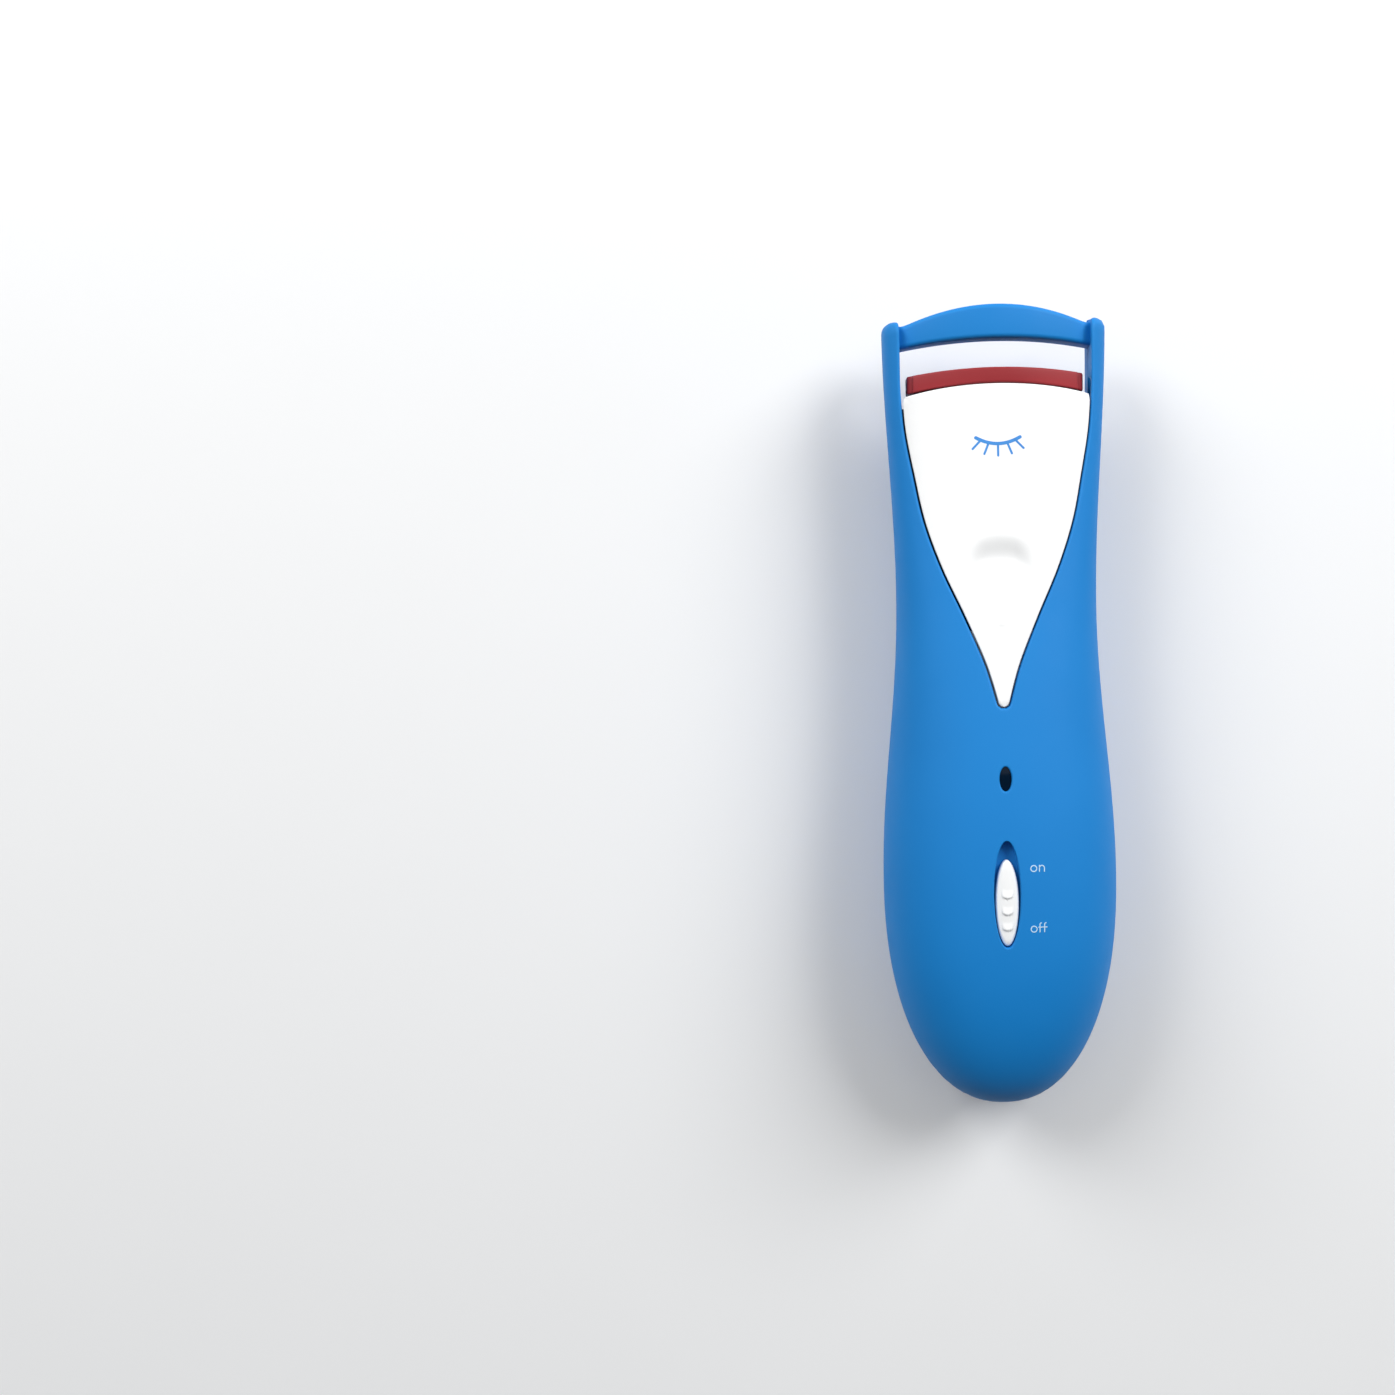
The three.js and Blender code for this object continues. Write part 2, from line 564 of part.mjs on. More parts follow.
function switchKnob() {
  const outline = ellipse(KNOB_Y, KNOB_SIZE, -KNOB_BEVEL);
  const bottom = RECESS_FLOOR_Z + FIT;
  const cap = new THREE.ExtrudeGeometry(outline, {
    depth: KNOB_TOP_Z - bottom - 2 * KNOB_BEVEL,
    bevelThickness: KNOB_BEVEL,
    bevelSize: KNOB_BEVEL,
    bevelSegments: 2,
    curveSegments: 10,
  }).translate(0, 0, bottom + KNOB_BEVEL);
  const ridges = RIDGE_OFFSETS.map((offset) => {
    const ridge = new THREE.CylinderGeometry(RIDGE.radius, RIDGE.radius, RIDGE.length, 8);
    return solid(ridge.rotateZ(Math.PI / 2).translate(0, KNOB_Y + offset, KNOB_TOP_Z - RIDGE.sink));
  });
  const { half, reach, z0, z1 } = KNOB_STEM;
  return join(solid(cap), box(-half, half, KNOB_Y - reach, KNOB_Y + reach, z0, z1), ...ridges);
}

// Case of the slide switch, open along its middle for the slider
function slideSwitch() {
  const middle = KNOB_Y + SWITCH_TRAVEL / 2;
  const openBox = (half, reach, z0, z1) => box(
    -half, half, middle - reach - SWITCH_TRAVEL / 2, middle + reach + SWITCH_TRAVEL / 2, z0, z1,
  );
  return cut(
    openBox(SWITCH_CASE.half, SWITCH_CASE.reach, BOARD.z1 + FIT, SWITCH_CASE.topZ),
    openBox(SLIDER.half + 0.25, SLIDER.reach + 0.3, SLIDER.z0 - 0.25, SLIDER.z1 + 0.25),
    openBox(KNOB_STEM.half + 0.25, 1.3, SLIDER.z1, FAR),
  );
}

function switchSlider() {
  const { half, reach, z0, z1, topZ } = SLIDER;
  const base = box(-half, half, KNOB_Y - reach, KNOB_Y + reach, z0, z1);
  return join(base, box(-KNOB_STEM.half, KNOB_STEM.half, KNOB_Y - 1, KNOB_Y + 1, z0 + 1, topZ));
}

function ledLens() {
  const plug = prism(ellipse(WINDOW_Y, WINDOW_SIZE, -FIT), LENS.z0 + FIT, LENS.topZ, 8);
  return join(plug, prism(ellipse(WINDOW_Y, WINDOW_SIZE, LENS.flange), LENS.z0, LENS.flangeTopZ, 8));
}

const indicatorLed = () => turned(LED_PROFILE, 0, 0, 0, 12)
  .rotate([90, 0, 0])
  .translate([0, WINDOW_Y, BOARD.z1 + FIT]);

function circuitBoard() {
  const board = box(-BOARD.half, BOARD.half, BOARD.y0, BOARD.y1, BOARD.z0, BOARD.z1);
  return cut(board, ...boardScrewPlaces.map(([x, y]) => post(PILOT_RADIUS, x, y, 0, FAR, 10)));
}

const chip = ({ x0, x1, y0, y1, topZ }) => box(x0, x1, y0, y1, BOARD.z1 + FIT, topZ);
const capacitor = () => post(
  CAPACITOR.radius, CAPACITOR.x, CAPACITOR.y, BOARD.z1 + FIT, CAPACITOR.topZ,
);

// ---------------------------------------------------------------- power

function batteryTray() {
  const [tailY, headY] = [BAY_TAIL_Y - TRAY_WALL - 0.1, BAY_HEAD_Y + TRAY_WALL + 0.3];
  const wallZ = COVER_TOP_Z + 2 * FIT;
  const ear = BOSS_RADIUS + FIT;
  const roof = box(-TRAY_HALF, TRAY_HALF, tailY, headY, TRAY_Z0, TRAY_Z1);
  const sides = mirrored((side) => sideBox(
    side, TRAY_HALF - TRAY_WALL, TRAY_HALF, tailY, headY, wallZ, TRAY_Z1,
  ));
  const ends = [tailY, headY - TRAY_WALL].map((y) => box(
    -TRAY_HALF, TRAY_HALF, y, y + TRAY_WALL, wallZ, TRAY_Z1,
  ));
  const tailEar = box(-3, 3, TAIL_SCREW_Y - ear, BAY_TAIL_Y, TRAY_Z0, TRAY_Z1);
  const sideEars = mirrored((side) => sideBox(
    side, SIDE_SCREW.x - ear, SIDE_SCREW.x + ear, BAY_HEAD_Y, SIDE_SCREW.y + ear, TRAY_Z0, TRAY_Z1,
  ));
  const boardPosts = boardScrewPlaces.map(([x, y]) => post(
    BOARD_POST_RADIUS, x, y, TRAY_Z0, BOARD.z0 - FIT, 12,
  ));
  const pilots = boardScrewPlaces.map(([x, y]) => post(PILOT_RADIUS, x, y, TRAY_Z0 + 0.6, FAR, 8));
  const screwHoles = bossPlaces.map(([x, y]) => post(SCREW_HOLE_RADIUS, x, y, 0, FAR, 10));
  const tabSlots = mirrored((side) => sideBox(
    side, CELL_X - 1.6, CELL_X + 1.6, BAY_HEAD_Y - 0.7, BAY_HEAD_Y + 0.3, CONTACT_Z1, FAR,
  ));
  return cut(
    join(roof, ...sides, ...ends, tailEar, ...sideEars, ...boardPosts),
    ...pilots,
    ...screwHoles,
    ...tabSlots,
  );
}

// An AAA cell with its raised pole at the start of the profile
function cell(x, y0, poleForward) {
  const profile = [
    [0, 0], [1.9, 0], [1.9, 0.9], [4.4, 0.9], [CELL_RADIUS, 1.4], [CELL_RADIUS, CELL_LENGTH - 0.4],
    [CELL_RADIUS - 0.5, CELL_LENGTH], [0, CELL_LENGTH],
  ];
  const along = poleForward ? profile.map(([r, a]) => [r, CELL_LENGTH - a]).reverse() : profile;
  return turned(along, x, y0, CELL_Z);
}

const batteryLeft = () => cell(-CELL_X, BAY_HEAD_Y - CONTACT_THICKNESS - FIT - CELL_LENGTH, true);
const batteryRight = () => cell(CELL_X, BAY_TAIL_Y + CONTACT_THICKNESS + FIT, false);
const contactBridge = () => box(
  -9.5, 9.5, BAY_TAIL_Y, BAY_TAIL_Y + CONTACT_THICKNESS, CONTACT_Z0, CONTACT_Z1,
);

// A contact at the head of the bay, with a tab up to the circuit board
function contactPlate(side) {
  const x = side * CELL_X;
  const y = BAY_HEAD_Y - CONTACT_THICKNESS;
  const plate = box(x - 4, x + 4, y, BAY_HEAD_Y, CONTACT_Z0, CONTACT_Z1);
  return join(plate, box(x - 1.2, x + 1.2, y, BAY_HEAD_Y, CONTACT_Z1 - 0.8, BOARD.z0 - FIT));
}

function contactSpring(x, y0, direction) {
  const { room, wireRadius, turns, wide, narrow } = CONTACT_SPRING;
  const start = y0 + direction * wireRadius;
  const end = y0 + direction * (room - 2 * FIT + wireRadius);
  return wire(new Coil(x, CELL_Z, start, end, turns, wide, narrow), wireRadius, 12 * turns, 4);
}

// ---------------------------------------------------------------- screws

function screw(x, y, { headZ, tipZ, head, shank }) {
  const up = Math.sign(tipZ - headZ);
  const spanned = (radius, from, to, sides) => post(
    radius, x, y, Math.min(from, to), Math.max(from, to), sides,
  );
  return join(spanned(head, headZ, headZ + up, 12), spanned(shank, headZ, tipZ, 8));
}

// ---------------------------------------------------------------- assembly

const BLUE = { color: 0x3f8bdc, roughness: 0.55 };
const WHITE = { color: 0xf6f7f7, roughness: 0.18 };
const RED = { color: 0xb2363a, roughness: 0.5 };
const STEEL = { color: 0xb9bcc0, roughness: 0.35, metalness: 1 };
const BLACK = { color: 0x1c1d20, roughness: 0.5 };
const NATURAL = { color: 0xd9d9d4, roughness: 0.5 };
const GREEN = { color: 0x1d6b3f, roughness: 0.45 };
const SMOKE = { color: 0x141a26, roughness: 0.15 };
const CERAMIC = { color: 0xe8e2d5, roughness: 0.7 };
const WRAP = { color: 0x2c7a4b, roughness: 0.35, metalness: 0.4 };

const curler = new THREE.Group();

function add(name, shape, finish) {
  const mesh = shape.getMesh();
  const positions = new THREE.BufferAttribute(new Float32Array(mesh.vertProperties), 3);
  const geometry = new THREE.BufferGeometry();
  geometry.setAttribute('position', positions);
  geometry.setIndex(new THREE.BufferAttribute(new Uint32Array(mesh.triVerts), 1));
  geometry.computeVertexNormals();
  const part = new THREE.Mesh(geometry, new THREE.MeshStandardMaterial(finish));
  part.name = name;
  curler.add(part);
}

add('front_shell', frontShell(), BLUE);
add('back_shell', backShell(), BLUE);
add('battery_cover', batteryCover(), BLUE);
add('lash_bar', lashBar(), BLUE);
add('silicone_pad', siliconePad(), RED);
add('heater_plate', heaterPlate(), STEEL);
add('heater_element', heaterElement(), CERAMIC);
add('thumb_slide', thumbSlide(), WHITE);
add('slide_carriage', slideCarriage(), BLACK);
add('switch_knob', switchKnob(), WHITE);
add('switch_slider', switchSlider(), BLACK);
add('slide_switch', slideSwitch(), STEEL);
add('led_lens', ledLens(), SMOKE);
add('indicator_led', indicatorLed(), RED);
add('circuit_board', circuitBoard(), GREEN);
add('timer_chip', chip(TIMER_CHIP), BLACK);
add('power_transistor', chip(TRANSISTOR), BLACK);
add('capacitor', capacitor(), BLACK);
add('battery_tray', batteryTray(), NATURAL);
add('battery_left', batteryLeft(), WRAP);
add('battery_right', batteryRight(), WRAP);
add('contact_bridge', contactBridge(), STEEL);
add('contact_spring_tail', contactSpring(-CELL_X, BAY_TAIL_Y + CONTACT_THICKNESS + FIT, 1), STEEL);
add('contact_spring_head', contactSpring(CELL_X, BAY_HEAD_Y - CONTACT_THICKNESS - FIT, -1), STEEL);

for (const [side, label] of [[-1, 'left'], [1, 'right']]) {
  add(`contact_plate_${label}`, contactPlate(side), STEEL);
  add(`return_spring_${label}`, returnSpring(side), STEEL);
  add(`heater_lead_${label}`, heaterLead(side), side < 0 ? RED : BLACK);
  add(`shell_screw_${label}`, screw(side * SIDE_SCREW.x, SIDE_SCREW.y, SHELL_SCREW), STEEL);
  add(`panel_screw_${label}`, screw(side * PANEL_SCREW.x, PANEL_SCREW.y, PANEL_FIXING), STEEL);
}
add('shell_screw_tail', screw(0, TAIL_SCREW_Y, TAIL_SCREW), STEEL);
for (const [end, [x, y]] of Object.entries(BOARD_SCREWS)) {
  add(`board_screw_${end}`, screw(x, y, BOARD_FIXING), STEEL);
}

curler.position.y = -(TAIL_END + BAR_HIGH_Y) / 2;

export default curler;
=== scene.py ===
import math
import bmesh
import bpy
import numpy as np
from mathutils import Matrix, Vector
from mathutils.geometry import delaunay_2d_cdt


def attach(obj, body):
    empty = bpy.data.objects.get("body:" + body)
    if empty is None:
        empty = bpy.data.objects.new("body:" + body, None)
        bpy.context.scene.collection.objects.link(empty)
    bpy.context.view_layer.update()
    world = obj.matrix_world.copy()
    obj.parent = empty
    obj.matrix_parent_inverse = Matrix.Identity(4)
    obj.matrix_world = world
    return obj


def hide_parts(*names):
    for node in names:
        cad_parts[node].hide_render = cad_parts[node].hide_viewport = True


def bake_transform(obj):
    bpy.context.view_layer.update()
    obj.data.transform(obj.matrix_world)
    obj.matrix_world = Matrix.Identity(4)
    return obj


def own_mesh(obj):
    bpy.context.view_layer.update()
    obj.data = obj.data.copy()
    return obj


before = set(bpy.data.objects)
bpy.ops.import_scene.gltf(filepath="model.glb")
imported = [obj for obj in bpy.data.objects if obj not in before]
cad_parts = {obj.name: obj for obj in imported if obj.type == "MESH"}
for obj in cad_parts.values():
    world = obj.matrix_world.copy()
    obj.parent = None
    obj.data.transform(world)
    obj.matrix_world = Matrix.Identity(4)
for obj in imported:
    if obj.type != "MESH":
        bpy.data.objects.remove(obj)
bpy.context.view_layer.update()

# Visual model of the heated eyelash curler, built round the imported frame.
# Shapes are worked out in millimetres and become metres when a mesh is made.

MM = 0.001
WELD = 1e-7
ROUNDING_STEPS = (0.1, 0.3, 0.6, 1.0, 1.7)
DENT_WALL = 0.03
SHARP_COSINE = 0.8
LATHE_SIDES = 48
BLOCK_CHAMFER = 0.15

# ---------------------------------------------------------------- driving dimensions

# Handle form
TAIL_END = -59.9
BELLY_Y = -26.0
WAIST_Y = 16.0
HEAD_Y = 53.0
FLARE_END_Y = 57.8
BELLY_HALF_WIDTH = 17.33
WAIST_HALF_WIDTH = 14.75
HEAD_HALF_WIDTH = 16.44
TAIL_LENGTH = BELLY_Y - TAIL_END
TAIL_WIDTH_POWER = 2.22
TAIL_HEIGHT_POWER = 2.4
PARTING_Z = 12.0
SEAM = 0.08
BELLY_RISE = 12.5
HEAD_RISE = 6.5
BELLY_DEPTH = 13.8
HEAD_DEPTH = 3.5
BACK_RISE_START = 2.0
BELLY_ROUNDNESS = 2.3
HEAD_ROUNDNESS = 3.6
WALL = 1.5
ARM_END = 57.0
ARM_CORNER = 1.4
THROAT_HALF_WIDTH = 14.1
THROAT_START = 44.0
HEEL_SOFTNESS = 0.35
CHANNEL_START_Y = 28.5
CHANNEL_END_Y = 48.55
CHANNEL_HALF = 14.65
CHANNEL_CLEAR_Z = 14.9
EDGE_SPACING = 0.7
SEAM_RADIUS = 0.25
RIM_RADIUS = 0.3
INNER_ARM_Y = (ARM_END, 55, 53, 51, 49)

# Parts with finer triangles: half width, from y, to y
RECESS_AREA = (2.2, -35, -18.5)
SCOOP_AREA = (6.6, 10, 27)
GRIP_AREA = (7.5, -7.5, 3.5)

# Where a half is solid: from y, to y, and the half width kept clear
FRONT_SOLID = [(CHANNEL_END_Y, math.inf, 0)]
BACK_SOLID = [(8.3, 9.5, 3.2), (42.5, math.inf, 0)]

# V opening and the panel in it
V_TIP_Y = 0.2
V_TIP_RADIUS = 1.1
V_FLANK = [(2.7, 6.75), (5.55, 13.6), (8.65, 20.5), (11, 27.3), (12.45, 34.2), (13.65, 41)]
V_TOP = (THROAT_HALF_WIDTH, 47.6)
PANEL_GAP = 0.3
PANEL_TOP_Y = 47.4
PANEL_TOP_RADIUS = 54.5
PANEL_WALL = 1.6
PANEL_DRAFT = 0.45
PANEL_SPINE = (3, 44)
PANEL_CORNER = 0.14
LIP_Z = (18.5, 19.1)
LIP_OUTLINE = [(1.6, -3.6), (3.2, 2.9), (6.05, 9.75), (6.05, 11.4)]
LIP_ROOT = (3.3, 10.9, 11.4)
SCOOP_WALL_Y = 25.6
SCOOP_ENTRY = 4.2
SCOOP_END_Y = 13.5
SCOOP_HALF = 5.6
SCOOP_DEPTH = 0.95
NUBS = [(-2.8, 17.5), (2.8, 17.5), (0.0, 12.5)]
NUB_WIDTH = 0.62
NUB_LENGTH = 0.32
NUB_HEIGHT = 0.14

# Switch and window
KNOB_Y = -27.9
KNOB_HALF = (1.7, 6.25)
KNOB_TOP_Z = 24.5
KNOB_BASE_Z = 22.9
STEM_HALF = (0.8, 1.2)
STEM_Z = (21.6, 23.4)
KNOB_CROWN = 0.28
KNOB_CORNER = 0.4
RIDGE_OFFSETS = (1.1, -1.3, -3.6)
RIDGE_HALF = 0.85
RIDGE_HEIGHT = 0.2
RECESS_Y = -26.6
RECESS_HALF = (1.93, 7.8)
RECESS_FLOOR_Z = 22.6
RECESS_UNDER_Z = 21.45
RECESS_RIM_RADIUS = 0.16
WINDOW_Y = -9.9
WINDOW_HALF = (0.875, 1.8)
WINDOW_EDGE_RADIUS = 0.22
LENS_GAP = 0.03
LENS_Z = (21.5, 23.62)
FLANGE_REACH = 0.6
FLANGE_Z = (21.2, 22.0)
SWITCH_TRAVEL = 2.6
SLOT = (1.1, KNOB_Y - 1.5, KNOB_Y + SWITCH_TRAVEL + 1.5)

# Lash clamp
BAR_BOW = 3.2
BAR_TOP_Z = 18.4
BAR_DEPTH = 5.0
BAR_LOW_Y = 53.97
BAR_HIGH_Y = 59.0
BAR_LOW_SAG = 1.05
BAR_HIGH_SAG = 3.0
BAR_EDGE_RADIUS = 0.75
BAR_TAB = (13.2, 15.1, 53.6, 55.4, 11.0, 13.1)
PAD_HALF = 12.9
PAD_LOW_Y = 47.6
PAD_HIGH_Y = 49.82
PAD_LOW_SAG = 1.6
PAD_HIGH_SAG = 1.1
PAD_TOP_Z = 18.2
PAD_DEPTH = 4.4
PAD_END_CAP = 0.9
PAD_EDGE_RADIUS = 0.32

# Battery cover and screws
COVER_HEAD_Y = 7.9
COVER_TOP_Z = 6.0
COVER_GAP = 0.2
COVER_EDGE_RADIUS = 0.25
TONGUE_HALF = 1.8
TONGUE = (5, 10.3, WALL + 0.3, 2.9)
TONGUE_ROOT = (5, 7.6, WALL - 0.4, 2.9)
GRIP_Y = -2.0
GRIP_HALF = (6.5, 4.2)
GRIP_LINES = 5
SIDE_SCREW = (9.6, 12.0)
WELL_RADIUS = 2.2
WELL_DEPTH = 0.5
WELL_PROFILE = [(2.21, 1.3), (2.6, 1.3), (2.6, 11.9), (1.3, 11.9), (1.3, 4.6), (2.21, 4.6)]
TAIL_SCREW_Y = -50.0
PANEL_SCREW = (7.0, 33.0)
POST_PROFILE = [(0.75, 14.0), (1.9, 14.0), (1.9, 16.2), (0.75, 16.2)]

# The outline is centred on the origin
MIDDLE_Y = (TAIL_END + BAR_HIGH_Y) / 2


# ---------------------------------------------------------------- handle form

def ease(start, end, t):
    return start + (end - start) * (1 - np.cos(np.pi * np.clip(t, 0, 1))) / 2


def smooth(t):
    t = np.clip(t, 0, 1)
    return t * t * (3 - 2 * t)


def round_end(t, power):
    return np.maximum(0, 1 - np.clip(t, 0, 1) ** power) ** (1 / power)


def station(y, inset=0.0):
    """Half width, rise, depth and roundness of the form at y, each wall moved inwards by inset."""
    tail = np.maximum(0, (BELLY_Y - y) / (TAIL_LENGTH - inset))
    width = ease(BELLY_HALF_WIDTH, WAIST_HALF_WIDTH, (y - BELLY_Y) / (WAIST_Y - BELLY_Y))
    width = width + ease(0, HEAD_HALF_WIDTH - WAIST_HALF_WIDTH, (y - WAIST_Y) / (FLARE_END_Y - WAIST_Y))
    rise = ease(BELLY_RISE, HEAD_RISE, (y - BELLY_Y) / (HEAD_Y - BELLY_Y))
    depth = ease(BELLY_DEPTH, HEAD_DEPTH, (y - BACK_RISE_START) / (HEAD_Y - BACK_RISE_START))
    into_corner = np.clip(y - (ARM_END - ARM_CORNER), 0, ARM_CORNER)
    off = inset + ARM_CORNER - np.sqrt(ARM_CORNER ** 2 - into_corner ** 2)
    return (
        (width - off) * round_end(tail, TAIL_WIDTH_POWER),
        (rise - off) * round_end(tail, TAIL_HEIGHT_POWER),
        (depth - off) * round_end(tail, TAIL_HEIGHT_POWER),
        ease(BELLY_ROUNDNESS, HEAD_ROUNDNESS, (y + 10) / 55),
    )


def soft_floor(z):
    """z kept above 0, with the crease rounded."""
    return (z + np.sqrt(z * z + HEEL_SOFTNESS ** 2)) / 2


def columns(*parts):
    return np.stack(parts, axis=-1)


def unit(rows):
    """Each row scaled to length 1."""
    return rows / np.maximum(np.linalg.norm(rows, axis=-1, keepdims=True), 1e-9)


def square_to(runs):
    """Unit vectors a quarter turn to the left of plane vectors."""
    return unit(columns(-runs[:, 1], runs[:, 0]))


def run_length(a, b):
    """Length so far along a polyline, or along each row of two tables."""
    return np.insert(np.cumsum(np.hypot(np.diff(a), np.diff(b)), axis=-1), 0, 0, axis=-1)


def lookup(table, row, column):
    """Bilinear value of a table at fractional places."""
    i = np.clip(np.floor(row).astype(int), 0, table.shape[0] - 2)
    j = np.clip(np.floor(column).astype(int), 0, table.shape[1] - 2)
    u, w = row - i, column - j
    near = table[i, j] * (1 - w) + table[i, j + 1] * w
    far = table[i + 1, j] * (1 - w) + table[i + 1, j + 1] * w
    return near * (1 - u) + far * u


class Half:
    """The front or back half of the form laid out flat: s runs round the section, v along the outline."""

    STEPS = 160

    def __init__(self, front):
        self.front = front
        tail = BELLY_Y - TAIL_LENGTH * np.sin(np.radians(np.linspace(90, 0, 130)))
        straight = np.linspace(BELLY_Y, ARM_END - ARM_CORNER, 220)[1:]
        corner = ARM_END - ARM_CORNER + ARM_CORNER * np.sin(np.radians(np.linspace(0, 90, 24)))[1:]
        self.y = np.concatenate([tail, straight, corner])
        self.v = run_length(self.y, station(self.y)[0])
        share = np.linspace(0, 1, self.STEPS + 1)
        y = self.y[:, None]
        self.arc = run_length(*self.section(y, share * self.last_angle(y)))
        self.length = self.arc[:, -1]
        self.share = np.array([np.interp(share * row[-1], row, share) for row in self.arc])
        self.share[0] = self.share[1]

    def last_angle(self, y):
        """Section angle, from the middle of the face, at which the halves part."""
        _, rise, depth, roundness = station(y)
        height = rise if self.front else depth
        return np.arccos(np.clip(SEAM / np.maximum(height, 1e-9), 0, 1) ** (roundness / 2))

    def section(self, y, angle, inset=0.0):
        """x and z of places on the section, at angles from the middle of the face."""
        width, rise, depth, roundness = station(y, inset)
        x = width * np.sin(angle) ** (2 / roundness)
        up = np.clip(np.cos(angle), 0, 1) ** (2 / roundness)
        if self.front:
            return x, np.maximum(PARTING_Z + rise * up, PARTING_Z + SEAM)
        return x, np.minimum(soft_floor(PARTING_Z - depth * up), PARTING_Z - SEAM)

    def row(self, y):
        return np.interp(y, self.y, np.arange(len(self.y)))

    def flat(self, x, y):
        """(s, v) of the surface point over (x, y) in the plan."""
        x, y = np.asarray(x, float), np.asarray(y, float)
        width, _, _, roundness = station(y)
        ratio = np.clip(np.abs(x) / np.maximum(width, 1e-9), 0, 1)
        angle = np.arcsin(ratio ** (roundness / 2))
        share = np.clip(angle / np.maximum(self.last_angle(y), 1e-9), 0, 1)
        s = lookup(self.arc, self.row(y), share * self.STEPS)
        return columns(np.sign(x) * s, np.interp(y, self.y, self.v))

    def flat_at_height(self, y, z):
        """s of the point at height z on the right side of the section at y."""
        _, rise, depth, roundness = station(y)
        height = rise if self.front else depth
        up = np.clip(abs(z - PARTING_Z) / np.maximum(height, 1e-9), 0, 1)
        share = np.arccos(up ** (roundness / 2)) / np.maximum(self.last_angle(y), 1e-9)
        return lookup(self.arc, self.row(y), share * self.STEPS)

    def area(self, half, low_y, high_y):
        """Bounds in the flat layout of a part that gets finer triangles."""
        return (-half, half, *np.interp([low_y, high_y], self.y, self.v))

    def place(self, s, v):
        """x, y, z and the section angle at (s, v)."""
        y = np.interp(v, self.v, self.y)
        row = np.interp(v, self.v, np.arange(len(self.v)))
        length = np.maximum(np.interp(v, self.v, self.length), 1e-9)
        share = lookup(self.share, row, np.clip(np.abs(s) / length, 0, 1) * self.STEPS)
        angle = share * self.last_angle(y)
        x, z = self.section(y, angle)
        return np.sign(s) * x, y, z, angle

    def height(self, x, y):
        """z of the surface over (x, y) in the plan."""
        width, rise, depth, roundness = station(y)
        up = np.maximum(0, 1 - (np.abs(x) / width) ** roundness) ** (1 / roundness)
        return PARTING_Z + rise * up if self.front else soft_floor(PARTING_Z - depth * up)

    def normals(self, x, y, z):
        """Outward unit normals of the form."""
        def level(at_y):
            width, rise, depth, roundness = station(at_y)
            height = np.where(z > PARTING_Z, rise, depth)
            across = np.abs(x) / np.maximum(width, 1e-6)
            up = np.abs(z - PARTING_Z) / np.maximum(height, 1e-6)
            return across, up, width, height, roundness
        across, up, width, height, roundness = level(y)
        nx = roundness * across ** (roundness - 1) * np.sign(x) / np.maximum(width, 1e-6)
        nz = roundness * up ** (roundness - 1) * np.sign(z - PARTING_Z) / np.maximum(height, 1e-6)
        near, far = level(y - 0.01), level(y + 0.01)
        ny = (far[0] ** far[4] + far[1] ** far[4] - near[0] ** near[4] - near[1] ** near[4]) / 0.02
        normal = columns(nx, np.clip(ny, -50, 50), nz)
        tip = y < TAIL_END + 0.02
        normal[tip] = (0, -1, 0)
        if not self.front:
            raw = z - HEEL_SOFTNESS ** 2 / (4 * np.maximum(z, 1e-6))
            slope = (1 + raw / np.sqrt(raw * raw + HEEL_SOFTNESS ** 2)) / 2
            normal = unit(normal) * slope[:, None] + np.array([0, 0, -1.0]) * (1 - slope[:, None])
        return unit(normal)

    def inner(self, x, y, angle, solid_ranges):
        """The inner wall under each outer point: straight below it, until the section turns down."""
        turn = math.radians(70)
        tail_share = (TAIL_LENGTH - WALL) / TAIL_LENGTH
        y_in = np.where(y < BELLY_Y, BELLY_Y + (y - BELLY_Y) * tail_share, y)
        width, _, _, roundness = station(y)
        width_in, _, _, roundness = station(y_in, WALL)
        reach = np.clip(np.abs(x) / np.maximum(width_in, 1e-6), 0, 1)
        below = np.arcsin(reach ** (roundness / 2))
        at_turn = (width_in / np.maximum(width, 1e-6)) * math.sin(turn) ** (2 / roundness)
        outer_turn = np.arcsin(np.clip(at_turn, 0, 1) ** (roundness / 2))
        past = turn + (angle - outer_turn) / np.maximum(np.pi / 2 - outer_turn, 1e-6) * (np.pi / 2 - turn)
        angle_in = np.clip(np.where(angle < outer_turn, below, past), 0, np.pi / 2)
        x_in, z_in = self.section(y_in, angle_in, WALL)
        if not self.front:
            z_in = np.maximum(z_in, WALL)
        x_in = np.sign(x) * x_in
        for low, high, clear_half in solid_ranges:
            filled = (y > low) & (y < high) & (np.abs(x) >= clear_half)
            x_in = np.where(filled, x, x_in)
            y_in = np.where(filled, y, y_in)
            z_in = np.where(filled, PARTING_Z + (SEAM if self.front else -SEAM), z_in)
        return columns(x_in, y_in, z_in)


FRONT = Half(True)
BACK = Half(False)


# ---------------------------------------------------------------- flat outlines

def resample(points, spacing):
    """Points round a closed outline at an even spacing, its sharp corners kept."""
    points = np.vstack([points, points[:1]]).astype(float)
    legs = unit(np.diff(points, axis=0))
    sharp = (legs[:-1] * legs[1:]).sum(axis=1) < SHARP_COSINE
    corners = [0, *np.flatnonzero(sharp) + 1, len(points) - 1]
    out = []
    for start, end in zip(corners[:-1], corners[1:]):
        run = points[start:end + 1]
        along = run_length(*run.T)
        count = max(1, round(along[-1] / spacing))
        at = np.linspace(0, along[-1], count + 1)[:-1]
        out.append(columns(*[np.interp(at, along, c) for c in run.T]))
    return np.vstack(out)


def ellipse(x, y, half, count=48):
    angle = np.linspace(0, 2 * np.pi, count, endpoint=False)
    return columns(x + half[0] * np.cos(angle), y + half[1] * np.sin(angle))


